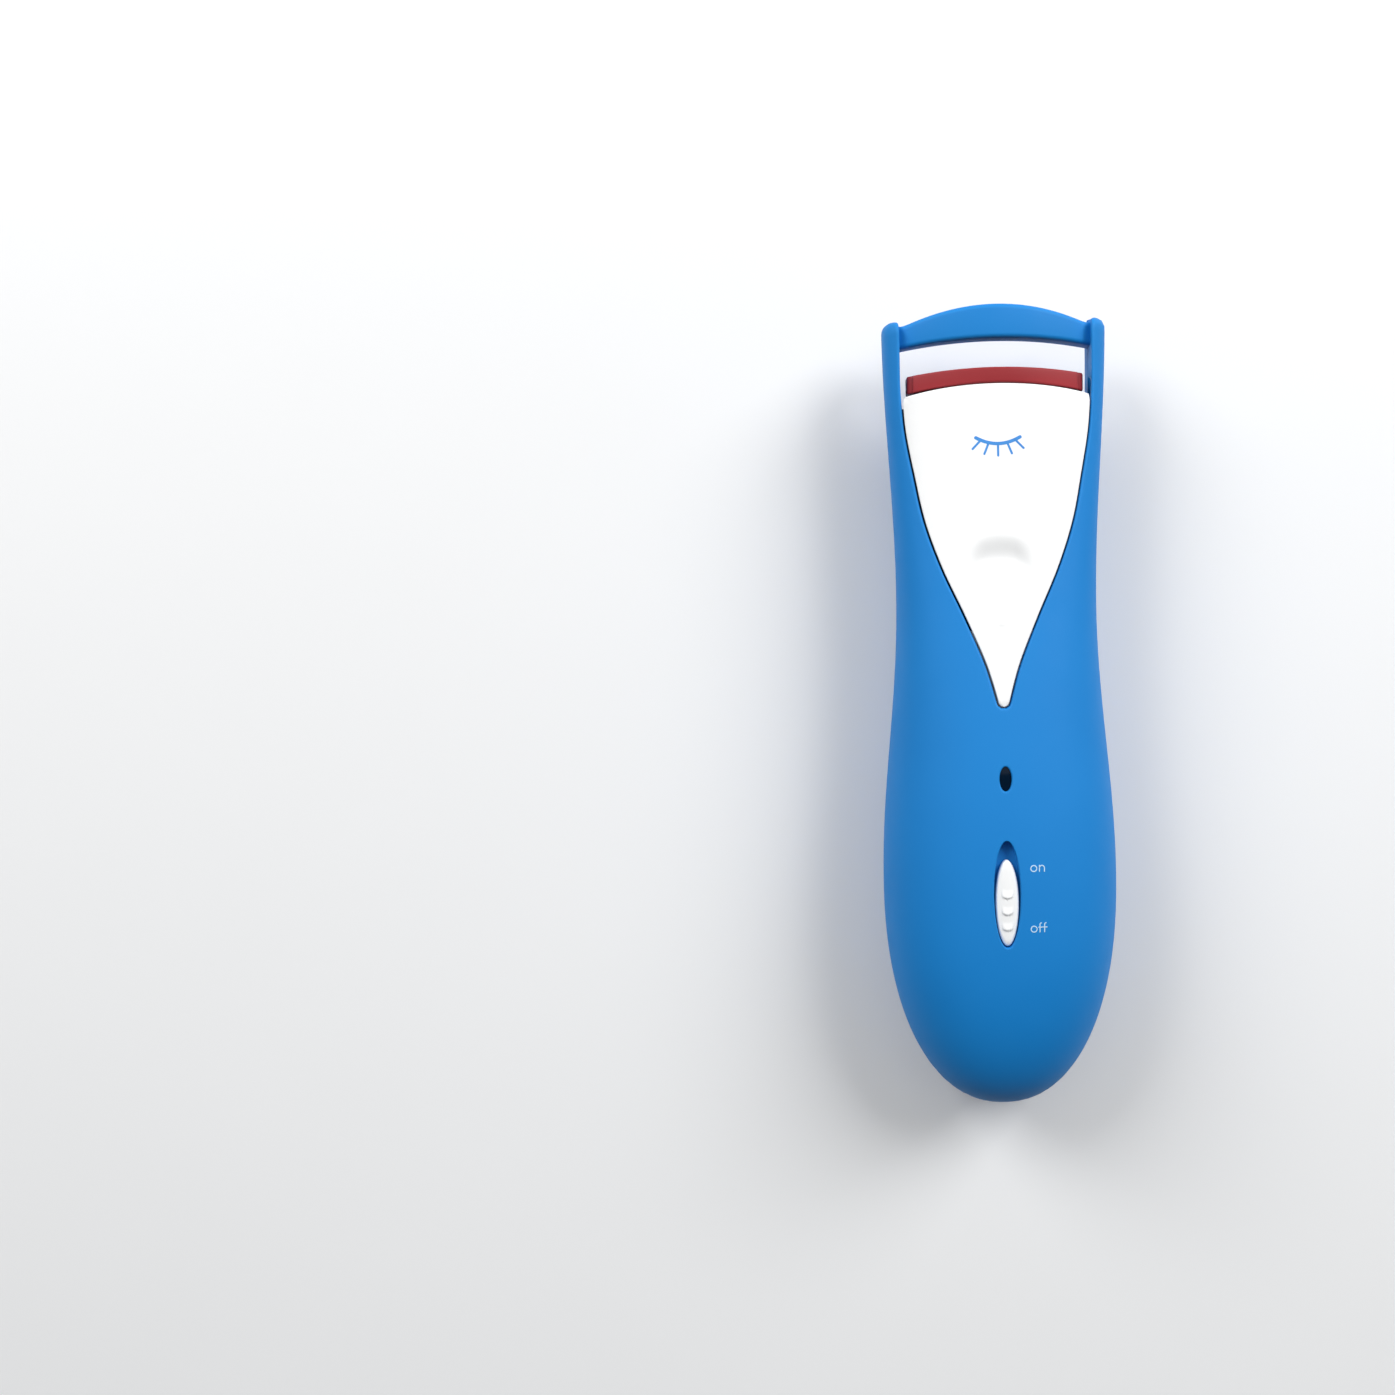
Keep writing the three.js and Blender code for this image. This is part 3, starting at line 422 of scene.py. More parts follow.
def through(points, per_leg=8):
    """A smooth curve through the points."""
    points = np.asarray(points, float)
    padded = np.vstack([points[:1], points, points[-1:]])
    out = []
    for p0, p1, p2, p3 in zip(padded, padded[1:], padded[2:], padded[3:]):
        v0, v1 = (p2 - p0) / 2, (p3 - p1) / 2
        for t in np.arange(per_leg) / per_leg:
            cubic = 2 * p1 - 2 * p2 + v0 + v1
            square = 3 * p2 - 3 * p1 - 2 * v0 - v1
            out.append(cubic * t ** 3 + square * t ** 2 + v0 * t + p1)
    out.append(points[-1])
    return np.array(out)


def v_flank(inset):
    """Right flank of the V from the end of the tip arc to the throat."""
    flank = [(V_TIP_RADIUS, V_TIP_Y + V_TIP_RADIUS), *V_FLANK, V_TOP]
    return through([(x - inset, y) for x, y in flank])


def v_tip(inset):
    """Half circle round the tip of the V, from right to left."""
    angle = np.linspace(0, -np.pi, 17)
    radius = V_TIP_RADIUS - inset
    centre = V_TIP_Y + V_TIP_RADIUS
    return columns(radius * np.cos(angle), centre + radius * np.sin(angle))


class Loop:
    """A closed outline in the flat layout, with the radius of the rounding along it."""

    def __init__(self, points, radius, spacing=0.7):
        self.points = resample(points, spacing)
        self.radius = np.array([radius(p) if callable(radius) else radius for p in self.points])

    def segments(self):
        return self.points, np.roll(self.points, -1, axis=0)


def nearest(points, loops):
    """Distance from each point to the loops, and the rounding radius there."""
    a, b = np.hstack([loop.segments() for loop in loops])
    leg = b - a
    size = np.maximum((leg ** 2).sum(axis=1), 1e-12)
    radii = np.concatenate([loop.radius for loop in loops])
    found = []
    for start in range(0, len(points), 2000):
        p = points[start:start + 2000, None]
        t = np.clip(((p - a) * leg).sum(axis=2) / size, 0, 1)
        away = np.linalg.norm(p - (a + t[..., None] * leg), axis=2)
        found.append([away.min(axis=1), radii[away.argmin(axis=1)]])
    return np.hstack(found)


def inside(points, loops):
    """True where a point is inside an odd number of loops."""
    count = np.zeros(len(points), int)
    for loop in loops:
        a, b = loop.segments()
        x, y = points[:, 0][:, None], points[:, 1][:, None]
        spans = (a[:, 1] > y) != (b[:, 1] > y)
        with np.errstate(divide="ignore", invalid="ignore"):
            cross = a[:, 0] + (y - a[:, 1]) * (b[:, 0] - a[:, 0]) / (b[:, 1] - a[:, 1])
        count += (spans & (x < cross)).sum(axis=1)
    return count % 2 == 1


def offset_rows(loop, loops, dent=False):
    """Rows of points beside a loop where its rounding is, as (points, edges). A dent's are outside it."""
    legs = unit(np.roll(loop.points, -1, axis=0) - loop.points)
    normal = square_to(legs + np.roll(legs, 1, axis=0))
    probe = inside(loop.points + normal * 0.02, [loop] if dent else loops)
    sign = 1 if (probe.mean() > 0.5) != dent else -1
    points, edges = [], []
    for step in ROUNDING_STEPS:
        row = loop.points + normal * sign * (loop.radius * step)[:, None]
        distance, _ = nearest(row, loops)
        kept = (distance > loop.radius * step * 0.97) & inside(row, loops)
        index = np.full(len(row), -1)
        index[kept] = len(points) + np.arange(kept.sum())
        points.extend(row[kept])
        edges.extend((i, j) for i, j in zip(index, np.roll(index, -1)) if i >= 0 and j >= 0)
    return points, edges


def ring_edges(count):
    return [(i, (i + 1) % count) for i in range(count)]


def triangulate(loops, dents, spacing, fine_areas):
    """Triangles between the loops. Dents are extra outlines with rows on both sides."""
    points, edges = [], []

    def add(new_points, new_edges):
        base = len(points)
        points.extend(new_points)
        edges.extend((base + i, base + j) for i, j in new_edges)

    for loop in loops + dents:
        add(loop.points, ring_edges(len(loop.points)))
    for loop in loops:
        add(*offset_rows(loop, loops))
    for dent in dents:
        add(*offset_rows(dent, loops + [dent] * 2, dent=True))
        inner = shrunk(dent, DENT_WALL)
        add(inner, ring_edges(len(inner)))
    outline = loops[0].points
    whole = (outline[:, 0].min(), outline[:, 0].max(), outline[:, 1].min(), outline[:, 1].max())
    for (x0, x1, y0, y1), step in [(whole, spacing), *fine_areas]:
        rows = np.arange(y0, y1, step * 0.866)
        fill = [(x, y) for k, y in enumerate(rows) for x in np.arange(x0 + (k % 2) * step / 2, x1, step)]
        fill = np.array(fill)
        for (fx0, fx1, fy0, fy1), fine in fine_areas:
            x, y = fill.T
            fill = fill[(step == fine) | (x <= fx0) | (x >= fx1) | (y <= fy0) | (y >= fy1)]
        fill = fill[inside(fill, loops)]
        distance, radius = nearest(fill, loops + dents)
        add(fill[distance > radius * ROUNDING_STEPS[-1] + step * 0.45], [])
    vectors = [Vector((float(x), float(y))) for x, y in points]
    found = delaunay_2d_cdt(vectors, edges, [], 0, 1e-5)
    flat = np.array([tuple(p) for p in found[0]])
    faces = np.array([f for f in found[2] if len(f) == 3])
    a, b, c = flat[faces[:, 0]], flat[faces[:, 1]], flat[faces[:, 2]]
    area = (b[:, 0] - a[:, 0]) * (c[:, 1] - a[:, 1]) - (b[:, 1] - a[:, 1]) * (c[:, 0] - a[:, 0])
    faces = np.where((area < 0)[:, None], faces[:, ::-1], faces)
    faces = faces[inside((a + b + c) / 3, loops) & (np.abs(area) > 1e-9)]
    used = np.unique(faces)
    renumber = np.full(len(flat), -1)
    renumber[used] = np.arange(len(used))
    return flat[used], renumber[faces]


def shrunk(loop, amount):
    """The loop moved inwards by amount, square to its edge."""
    normal = square_to(np.roll(loop.points, -1, axis=0) - np.roll(loop.points, 1, axis=0))
    to_centre = loop.points.mean(axis=0) - loop.points
    inward = np.sign((to_centre * normal).sum(axis=1, keepdims=True))
    return loop.points + normal * inward * amount


def rounding(distance, radius):
    """How far a rounded edge falls below the surface at a distance from the edge."""
    into = np.clip(radius - distance, 0, radius)
    return radius - np.sqrt(np.maximum(radius ** 2 - into ** 2, 0))


# ---------------------------------------------------------------- making meshes

def sharpen(mesh_bm, degrees):
    for edge in mesh_bm.edges:
        if len(edge.link_faces) == 2:
            edge.smooth = edge.calc_face_angle(0) < math.radians(degrees)
    for face in mesh_bm.faces:
        face.smooth = True


def add_object(name, data):
    made = bpy.data.objects.new(name, data)
    bpy.context.scene.collection.objects.link(made)
    return made


def piece(name, parts, material, body, slot, replaces=(), degrees=38):
    """One object from lists of (vertices in mm, faces), riding on a body unless body is None."""
    bm = bmesh.new()
    for vertices, faces in parts:
        made = [bm.verts.new([float(c) * MM for c in (x, y - MIDDLE_Y, z)]) for x, y, z in vertices]
        for face in faces:
            corners = [made[i] for i in face]
            if len(set(corners)) > 2:
                bm.faces.new(corners)
    bmesh.ops.remove_doubles(bm, verts=bm.verts, dist=WELD)
    sharpen(bm, degrees)
    mesh = bpy.data.meshes.new(name)
    bm.to_mesh(mesh)
    bm.free()
    mesh.materials.append(material)
    made = add_object(name, mesh)
    if body:
        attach(made, body)
    if replaces:
        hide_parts(*replaces)
    return made


def shell(half, loops, dents=(), spacing=1.1, fine_areas=(), solid_ranges=(),
          shape=None, shape_inner=None, wall=None):
    """A closed shell over the flat layout: outer skin, inner skin and the walls of its openings."""
    flat, faces = triangulate(loops, list(dents), spacing, fine_areas)
    x, y, z, angle = half.place(flat[:, 0], flat[:, 1])
    outer = columns(x, y, z)
    normal = half.normals(x, y, z)
    drop = rounding(*nearest(flat, loops))
    if wall is None:
        inner = half.inner(x, y, angle, solid_ranges)
    else:
        inner = outer - np.array([0, 0, wall])
    outer = outer - normal * drop[:, None]
    if shape:
        outer = shape(outer, flat)
    if shape_inner:
        inner = shape_inner(inner, flat)
    if solid_ranges:
        at_edge = drop > 0
        plane = np.abs(inner[:, 2] - PARTING_Z) < SEAM * 1.01
        flush = at_edge & plane & (np.abs(outer[:, 2] - PARTING_Z) < 1)
        inner[flush, :2] = outer[flush, :2]
    count = len(outer)
    sided = faces if half.front else faces[:, ::-1]
    every = [tuple(f) for f in sided] + [tuple(f + count) for f in sided[:, ::-1]]
    directed = dict.fromkeys((f[k], f[(k + 1) % 3]) for f in sided for k in range(3))
    every += [(j, i, i + count, j + count) for i, j in directed if (j, i) not in directed]
    return np.vstack([outer, inner]), every


def circle(count):
    """The cosine and sine of even steps round a circle."""
    angles = [2 * math.pi * k / count for k in range(count)]
    return [(math.cos(a), math.sin(a)) for a in angles]


def lathe(profile, x, y, z, axis="z"):
    """A turned solid from (radius, along) points that start and end on the axis, or close on themselves."""
    vertices, faces = [], []
    rings = len(profile)
    for c, s in circle(LATHE_SIDES):
        for radius, along in profile:
            a, b = radius * c, radius * s
            vertices.append((x + a, y + b, z + along) if axis == "z" else (x + b, y + along, z + a))
    closed = profile[0][0] > 0
    for k, after in ring_edges(LATHE_SIDES):
        for i in range(rings if closed else rings - 1):
            j = (i + 1) % rings
            faces.append((k * rings + i, after * rings + i, after * rings + j, k * rings + j))
    return vertices, faces


def tube(path, radius, sides=12):
    """A round rod with closed ends along a path."""
    path = np.asarray(path, float)
    tangent = unit(np.gradient(path, axis=0))
    side = np.cross(tangent[0], (0.3, 0.2, 1.0))
    rings = []
    for point, along in zip(path, tangent):
        side = unit(side - along * (side @ along))
        up = np.cross(along, side)
        rings.append([point + radius * (c * side + s * up) for c, s in circle(sides)])
    return loft(rings)


def loft(rings):
    """Rings of equal count joined along a length, with flat ends."""
    count = len(rings[0])
    vertices = [point for ring in rings for point in ring]
    last = len(vertices) - count
    faces = []
    for start in range(0, last, count):
        faces += [(start + i, start + j, start + count + j, start + count + i) for i, j in ring_edges(count)]
    return vertices, [*faces, tuple(reversed(range(count))), tuple(range(last, last + count))]


def block(x0, x1, y0, y1, z0, z1):
    """A box with chamfered edges along its height."""
    c = BLOCK_CHAMFER
    plan = [
        (x0 + c, y0), (x1 - c, y0), (x1, y0 + c), (x1, y1 - c),
        (x1 - c, y1), (x0 + c, y1), (x0, y1 - c), (x0, y0 + c),
    ]
    return loft([[(x, y, z) for x, y in plan] for z in (z0, z1)])


# ---------------------------------------------------------------- materials

class Look:
    """A principled material and the nodes that feed it."""

    def __init__(self, name, color, roughness, metallic=0.0, **sockets):
        self.made = bpy.data.materials.new(name)
        self.made.use_nodes = True
        self.nodes = self.made.node_tree.nodes
        self.shader = self.nodes["Principled BSDF"]
        self.feed(self.shader, Base_Color=(*color, 1), Roughness=roughness, Metallic=metallic, **sockets)
        self.place = self.nodes.new("ShaderNodeTexCoord").outputs["Object"]

    def feed(self, node, **sources):
        """Gives inputs a value or a link. An underscore stands for a space in the input's name."""
        for name, source in sources.items():
            socket = node.inputs[name.replace("_", " ")]
            if isinstance(source, bpy.types.NodeSocket):
                self.made.node_tree.links.new(source, socket)
            else:
                socket.default_value = source
        return node.outputs

    def add(self, kind, **sources):
        return self.feed(self.nodes.new("ShaderNode" + kind), **sources)

    def noise(self, scale, detail, place=None):
        return self.add("TexNoise", Scale=scale, Detail=detail, Vector=place or self.place)["Fac"]

    def ramp(self, source, low, high):
        """Maps a noise value to a range."""
        given = self.add("MapRange", From_Min=0.3, From_Max=0.7, To_Min=low, To_Max=high, Value=source)
        return given["Result"]

    def mottled(self, source, color, other):
        mix = self.nodes.new("ShaderNodeMix")
        mix.data_type = "RGBA"
        return self.feed(mix, A=(*color, 1), B=(*other, 1), Factor=source)["Result"]

    def bump(self, source, distance, strength=0.4):
        normal = self.add("Bump", Strength=strength, Distance=distance, Height=source)["Normal"]
        self.feed(self.shader, Normal=normal)


def plastic(name, color, other, roughness, grain, grain_height, spread=0.06, **sockets):
    """Moulded plastic: a fine grain, slow colour drift and uneven gloss."""
    look = Look(name, color, roughness, **sockets)
    drift = look.ramp(look.noise(60, 2), 0, 1)
    gloss = look.ramp(look.noise(260, 4), roughness - spread, roughness + spread)
    look.feed(look.shader, Base_Color=look.mottled(drift, color, other), Roughness=gloss)
    look.bump(look.noise(grain, 3), grain_height)
    return look.made


def metal(name, color, roughness, scale=(1, 1, 1), grain=900):
    """Drawn or machined metal: streaks along the axis with the smallest scale."""
    look = Look(name, color, roughness, metallic=1.0)
    streaks = look.noise(grain, 4, look.add("Mapping", Scale=scale, Vector=look.place)["Vector"])
    mottle = look.mottled(look.ramp(streaks, 0, 1), color, [c * 0.8 for c in color])
    gloss = look.ramp(streaks, roughness * 0.7, roughness * 1.3)
    look.feed(look.shader, Base_Color=mottle, Roughness=gloss)
    look.bump(streaks, 0.00002)
    return look.made


def board_material():
    """Green solder mask over copper tracks."""
    look = Look("board_laminate", (0.012, 0.14, 0.05), 0.35)
    tracks = look.add(
        "TexBrick", Color1=(0.010, 0.12, 0.045, 1), Color2=(0.014, 0.16, 0.06, 1),
        Mortar=(0.03, 0.26, 0.10, 1), Mortar_Size=0.012, Scale=260, Vector=look.place,
    )
    look.feed(look.shader, Base_Color=tracks["Color"])
    look.bump(tracks["Fac"], 0.00003)
    return look.made


def wrap_material(name, plain_y, band_y):
    """Printed foil sleeve of a cell: dark, with a copper band from band_y to its pole."""
    look = Look(name, (0.03, 0.03, 0.035), 0.28, metallic=0.35)
    along = look.add("SeparateXYZ", Vector=look.place)["Y"]
    band = look.add("MapRange", From_Min=plain_y, From_Max=band_y, Value=along)["Result"]
    color = look.mottled(band, (0.03, 0.032, 0.036), (0.55, 0.24, 0.08))
    scuffs = look.noise(700, 4)
    look.feed(look.shader, Base_Color=color, Roughness=look.ramp(scuffs, 0.22, 0.36))
    look.bump(scuffs, 0.00001, 0.2)
    return look.made


BLUE = plastic(
    "soft_touch_blue", (0.005, 0.218, 0.61), (0.004, 0.208, 0.59), 0.6, 9000, 0.00001, 0.03,
    Specular_IOR_Level=0.32,
)
WHITE = plastic("gloss_white", (0.93, 0.935, 0.935), (0.92, 0.925, 0.925), 0.24, 1500, 0.000004, 0.03)
RED = plastic(
    "red_silicone", (0.32, 0.030, 0.036), (0.29, 0.026, 0.031), 0.45, 3000, 0.00002, 0.05,
    Specular_IOR_Level=0.22,
)
LENS = plastic(
    "smoked_lens", (0.001, 0.008, 0.022), (0.001, 0.010, 0.026), 0.12, 400, 0.000003, 0.02,
    Specular_IOR_Level=0.2,
)
INK_PALE = plastic("pale_ink", (0.55, 0.76, 0.93), (0.52, 0.73, 0.91), 0.5, 5000, 0.000005)
INK_BLUE = plastic("blue_ink", (0.045, 0.27, 0.70), (0.04, 0.25, 0.67), 0.4, 5000, 0.000005)
NYLON = plastic("natural_nylon", (0.72, 0.71, 0.66), (0.68, 0.67, 0.61), 0.45, 2200, 0.00002)
BLACK = plastic("black_plastic", (0.012, 0.012, 0.014), (0.016, 0.016, 0.018), 0.45, 2600, 0.00002)
CERAMIC = plastic("heater_ceramic", (0.72, 0.68, 0.58), (0.64, 0.60, 0.50), 0.7, 1800, 0.00004)
EPOXY = plastic("red_epoxy", (0.42, 0.010, 0.010), (0.36, 0.008, 0.008), 0.15, 500, 0.000005)
RED_WIRE = plastic("red_wire", (0.50, 0.015, 0.012), (0.44, 0.012, 0.010), 0.38, 2500, 0.00001)
BLACK_WIRE = plastic("black_wire", (0.014, 0.014, 0.015), (0.02, 0.02, 0.021), 0.4, 2500, 0.00001)
NICKEL = metal("nickel_steel", (0.62, 0.60, 0.56), 0.26, (1, 1, 1))
STEEL = metal("screw_steel", (0.50, 0.50, 0.52), 0.32, (1, 1, 1), 1800)
ALUMINIUM = metal("heater_aluminium", (0.78, 0.79, 0.80), 0.34, (0.1, 1, 1), 1500)
LAMINATE = board_material()
WRAP_LEFT = wrap_material("cell_wrap_left", -0.0067, -0.0065)
WRAP_RIGHT = wrap_material("cell_wrap_right", -0.0283, -0.0285)

# ---------------------------------------------------------------- camera, floor and light

FOCAL = 48.2
SENSOR = 36.0
CAMERA_PLACE = (-0.02742, 0.02135, 0.29298)
CAMERA_TURN = (-2.49, 2.21, -1.09)
CAMERA_SHIFT = (-0.030, -0.034)
FLOOR_COLOR = (0.88, 0.885, 0.89)
FLOOR_REACH = 3.0
FLOOR_Z = -0.0001


def add_camera():
    data = bpy.data.cameras.new("camera")
    data.lens = FOCAL
    data.sensor_width = SENSOR
    data.shift_x, data.shift_y = CAMERA_SHIFT
    data.clip_start = 0.01
    camera = add_object("camera", data)
    camera.location = CAMERA_PLACE
    camera.rotation_euler = [math.radians(a) for a in CAMERA_TURN]
    bpy.context.scene.camera = camera


def add_floor():
    look = Look("pale_floor", FLOOR_COLOR, 0.6)
    color = look.mottled(look.noise(40, 2), FLOOR_COLOR, (0.87, 0.875, 0.88))
    look.feed(look.shader, Base_Color=color)
    mesh = bpy.data.meshes.new("floor")
    corners = [(-1, -1), (1, -1), (1, 1), (-1, 1)]
    mesh.from_pydata([(x * FLOOR_REACH, y * FLOOR_REACH, FLOOR_Z) for x, y in corners], [], [(0, 1, 2, 3)])
    mesh.materials.append(look.made)
    add_object("floor", mesh)


def add_area(name, place, target, size, power):
    data = bpy.data.lights.new(name, "AREA")
    data.shape = "RECTANGLE"
    data.size, data.size_y = size
    data.energy = power
    light = add_object(name, data)
    light.location = place
    light.rotation_euler = (Vector(target) - Vector(place)).to_track_quat("-Z", "Y").to_euler()


def add_world(strength, color):
    world = bpy.data.worlds.new("studio")
    world.use_nodes = True
    background = world.node_tree.nodes["Background"]
    background.inputs["Color"].default_value = (*color, 1)
    background.inputs["Strength"].default_value = strength
    bpy.context.scene.world = world


add_camera()
add_floor()
add_area("ceiling", (0.0, 0.35, 0.75), (0, 0.05, 0), (1.2, 0.8), 2.2)
add_area("left_box", (-0.55, 0.55, 0.55), (0, 0, 0), (0.42, 0.55), 5.6)
add_area("right_box", (0.55, 0.50, 0.55), (0, 0, 0), (0.42, 0.55), 7.2)
add_world(0.05, (0.9, 0.95, 1.0))
bpy.context.scene.view_settings.view_transform = "Standard"


# ---------------------------------------------------------------- front shell

def mirror(run):
    return np.asarray(run)[::-1] * (-1, 1)


def half_loop(half, right, middle):
    """Edge of a half: its parting edges, joined by the right and middle of a plan and its left."""
    v = np.linspace(half.v[0], half.v[-1], int((half.v[-1] - half.v[0]) / EDGE_SPACING))
    side = columns(np.interp(v, half.v, half.length), v)
    plan = np.vstack([right, middle, mirror(right)])
    return np.vstack([side, half.flat(*plan.T), mirror(side)[:-1]])


def front_radius(point):
    """Small rounding at the parting edge, larger round the opening and the arm ends."""
    edge = np.interp(point[1], FRONT.v, FRONT.length)
    return SEAM_RADIUS if abs(point[0]) > edge - 0.05 else RIM_RADIUS


def make_front_shell():
    recess_plan = ellipse(0, RECESS_Y, RECESS_HALF, 96)
    recess = Loop(FRONT.flat(*recess_plan.T), RECESS_RIM_RADIUS, 0.3)
    window_plan = ellipse(0, WINDOW_Y, WINDOW_HALF, 48)
    window = Loop(FRONT.flat(*window_plan.T), WINDOW_EDGE_RADIUS, 0.25)
    half, y0, y1 = SLOT
    slot_plan = np.array([(-half, y0), (half, y0), (half, y1), (-half, y1)])
    slot = Loop(FRONT.flat(*slot_plan.T), 0.08, 0.5)
    inner_arm = [(THROAT_HALF_WIDTH, y) for y in INNER_ARM_Y]
    edge = half_loop(FRONT, [*inner_arm, *v_flank(0)[::-1]], v_tip(0)[1:-1])
    loops = [Loop(edge, front_radius), window, slot]

    def dent(outer, flat):
        distance, radius = nearest(flat, [recess])
        enclosed = inside(flat, [recess])
        within = enclosed & (distance > DENT_WALL / 2)
        outer[:, 2] -= np.where(enclosed, radius, rounding(distance, radius))
        floor_edge = rounding(distance - DENT_WALL, np.full(len(flat), 0.1))
        floor = RECESS_FLOOR_Z + floor_edge - rounding(*nearest(flat, [slot]))
        outer[within, 2] = floor[within]
        return outer

    def under_dent(inner, flat):
        distance, _ = nearest(flat, [recess])
        below = inside(flat, [recess]) | (distance < 0.9)
        inner[below, 2] = np.minimum(inner[below, 2], RECESS_UNDER_Z)
        along = (inner[:, 1] > CHANNEL_START_Y) & (inner[:, 1] < CHANNEL_END_Y)
        channel = along & (inner[:, 2] < CHANNEL_CLEAR_Z) & (np.abs(inner[:, 0]) > CHANNEL_HALF - 2)
        widened = np.maximum(np.abs(inner[:, 0]), CHANNEL_HALF)
        inner[channel, 0] = np.copysign(widened, inner[:, 0])[channel]
        return inner

    part = shell(
        FRONT, loops, dents=[recess], spacing=1.1,
        fine_areas=[(FRONT.area(*RECESS_AREA), 0.55)],
        solid_ranges=FRONT_SOLID, shape=dent, shape_inner=under_dent,
    )
    piece("front_shell_skin", [part], BLUE, "handle", "soft_touch_blue", ["front_shell"])


# ---------------------------------------------------------------- thumb slide

def panel_plan():
    """Outline of the panel in the plan, from the right top corner round the tip to the left."""
    centre = PANEL_TOP_Y - PANEL_TOP_RADIUS
    flank = v_flank(PANEL_GAP)
    top = centre + np.sqrt(PANEL_TOP_RADIUS ** 2 - flank[:, 0] ** 2)
    flank = flank[flank[:, 1] < top - PANEL_CORNER]
    right = flank[::-1]
    left = flank * (-1, 1)
    corner_x = flank[-1][0] - PANEL_CORNER
    x = np.linspace(-corner_x, corner_x, 60)
    head = columns(x, centre + np.sqrt(PANEL_TOP_RADIUS ** 2 - x ** 2))
    return np.vstack([right, v_tip(PANEL_GAP)[1:-1], left, head])


def scoop(x, y):
    """Depth of the thumb scoop: a steep curved wall towards the head, fading out to the tail."""
    wall = SCOOP_WALL_Y - 2.1 * (np.abs(x) / SCOOP_HALF) ** 2.2
    behind = wall - y
    entry = smooth(behind / SCOOP_ENTRY)
    fade = 1 - smooth((behind - SCOOP_ENTRY / 2) / (SCOOP_WALL_Y - SCOOP_END_Y))
    across = 1 - smooth((np.abs(x) - SCOOP_HALF * 0.35) / (SCOOP_HALF * 0.65))
    return SCOOP_DEPTH * entry * fade * across


def nubs(x, y):
    lift = np.zeros_like(x)
    for nub_x, nub_y in NUBS:
        along = (y - nub_y) / NUB_LENGTH
        across = (x - nub_x) / NUB_WIDTH
        lift += NUB_HEIGHT * np.exp(-(along ** 2 + across ** 2))
    return lift


def panel_lip():
    """Lip under the panel's tip, and the rib that it hangs from."""
    plan = [*LIP_OUTLINE, *[(-x, y) for x, y in LIP_OUTLINE[::-1]]]
    sheet = loft([[(x, y, z) for x, y in plan] for z in LIP_Z])
    half, y0, y1 = LIP_ROOT
    under_panel = float(FRONT.height(half, y1)) - PANEL_WALL
    return [sheet, block(-half, half, y0, y1, LIP_Z[1] - 0.2, under_panel + 0.4)]


def make_thumb_slide():
    plan = panel_plan()
    loops = [Loop(FRONT.flat(*plan.T), 0.18, 0.55)]

    def dish(outer, flat):
        outer[:, 2] += nubs(outer[:, 0], outer[:, 1]) - scoop(outer[:, 0], outer[:, 1])
        return outer

    def under(inner, flat):
        inner[:, 2] -= scoop(inner[:, 0], inner[:, 1])
        distance, _ = nearest(flat, loops)
        spine = np.clip(inner[:, 1], *PANEL_SPINE)
        to_spine = unit(columns(-inner[:, 0], spine - inner[:, 1]))
        inner[:, :2] += to_spine * (PANEL_DRAFT * np.exp(-distance / PANEL_DRAFT))[:, None]
        return inner

    part = shell(
        FRONT, loops, spacing=0.9, fine_areas=[(FRONT.area(*SCOOP_AREA), 0.32)],
        shape=dish, shape_inner=under, wall=PANEL_WALL,
    )
    posts = [lathe(POST_PROFILE, side * PANEL_SCREW[0], PANEL_SCREW[1], 0) for side in (-1, 1)]
    parts = [part, *panel_lip(), *posts]
    piece("thumb_panel", parts, WHITE, "clamp", "gloss_white", ["thumb_slide"])


# ---------------------------------------------------------------- lash bar and pad

def rounded_section(x, y0, y1, z0, z1, radius, per_corner=7):
    y0, y1, z0, z1 = y0 + radius, y1 - radius, z0 + radius, z1 - radius
    centres = ((y1, z1), (y0, z1), (y0, z0), (y1, z0))
    ring = []
    for quarter, (y, z) in enumerate(centres):
        for i in range(per_corner):
            angle = math.pi / 2 * (quarter + i / (per_corner - 1))
            ring.append((x, y + radius * math.cos(angle), z + radius * math.sin(angle)))
    return ring


def make_lash_bar():
    half = THROAT_HALF_WIDTH - 0.03
    rings = []
    for x in np.linspace(-half, half, 73):
        sweep = (x / THROAT_HALF_WIDTH) ** 2
        flare = 0.4 * math.exp(-(half - abs(x)) / 0.5)
        low = BAR_LOW_Y - BAR_LOW_SAG * sweep
        high = BAR_HIGH_Y - BAR_HIGH_SAG * sweep + flare
        top = BAR_TOP_Z - BAR_BOW * sweep
        rings.append(rounded_section(x, low, high, top - BAR_DEPTH, top, BAR_EDGE_RADIUS))
    parts = [loft(rings)]
    for side in (-1, 1):
        x0, x1 = sorted((side * BAR_TAB[0], side * BAR_TAB[1]))
        parts.append(block(x0, x1, *BAR_TAB[2:]))
    piece("lash_bar_bow", parts, BLUE, "handle", "soft_touch_blue", ["lash_bar"])


def make_pad():
    rings = []
    main = np.linspace(-PAD_HALF + PAD_END_CAP, PAD_HALF - PAD_END_CAP, 61)
    edge = [PAD_HALF - PAD_END_CAP + 0.05, PAD_HALF - 0.45, PAD_HALF - 0.12, PAD_HALF]
    for x in [*(-np.array(edge[::-1])), *main, *edge]:
        q = (x / THROAT_HALF_WIDTH) ** 2
        in_cap = abs(x) > PAD_HALF - PAD_END_CAP + 0.02
        lower = 0.25 if in_cap else 0.0
        pull = 0.12 if abs(x) > PAD_HALF - 0.05 else 0.0
        top = PAD_TOP_Z - BAR_BOW * q - lower - pull
        low = PAD_LOW_Y - PAD_LOW_SAG * q + pull
        high = PAD_HIGH_Y - PAD_HIGH_SAG * q - pull
        ring = rounded_section(x, low, high, top - PAD_DEPTH + lower + 2 * pull, top, PAD_EDGE_RADIUS, 6)
        rings.append(ring)
    piece("silicone_pad_skin", [loft(rings)], RED, "clamp", "red_silicone", ["silicone_pad"])


# ---------------------------------------------------------------- knob and lens

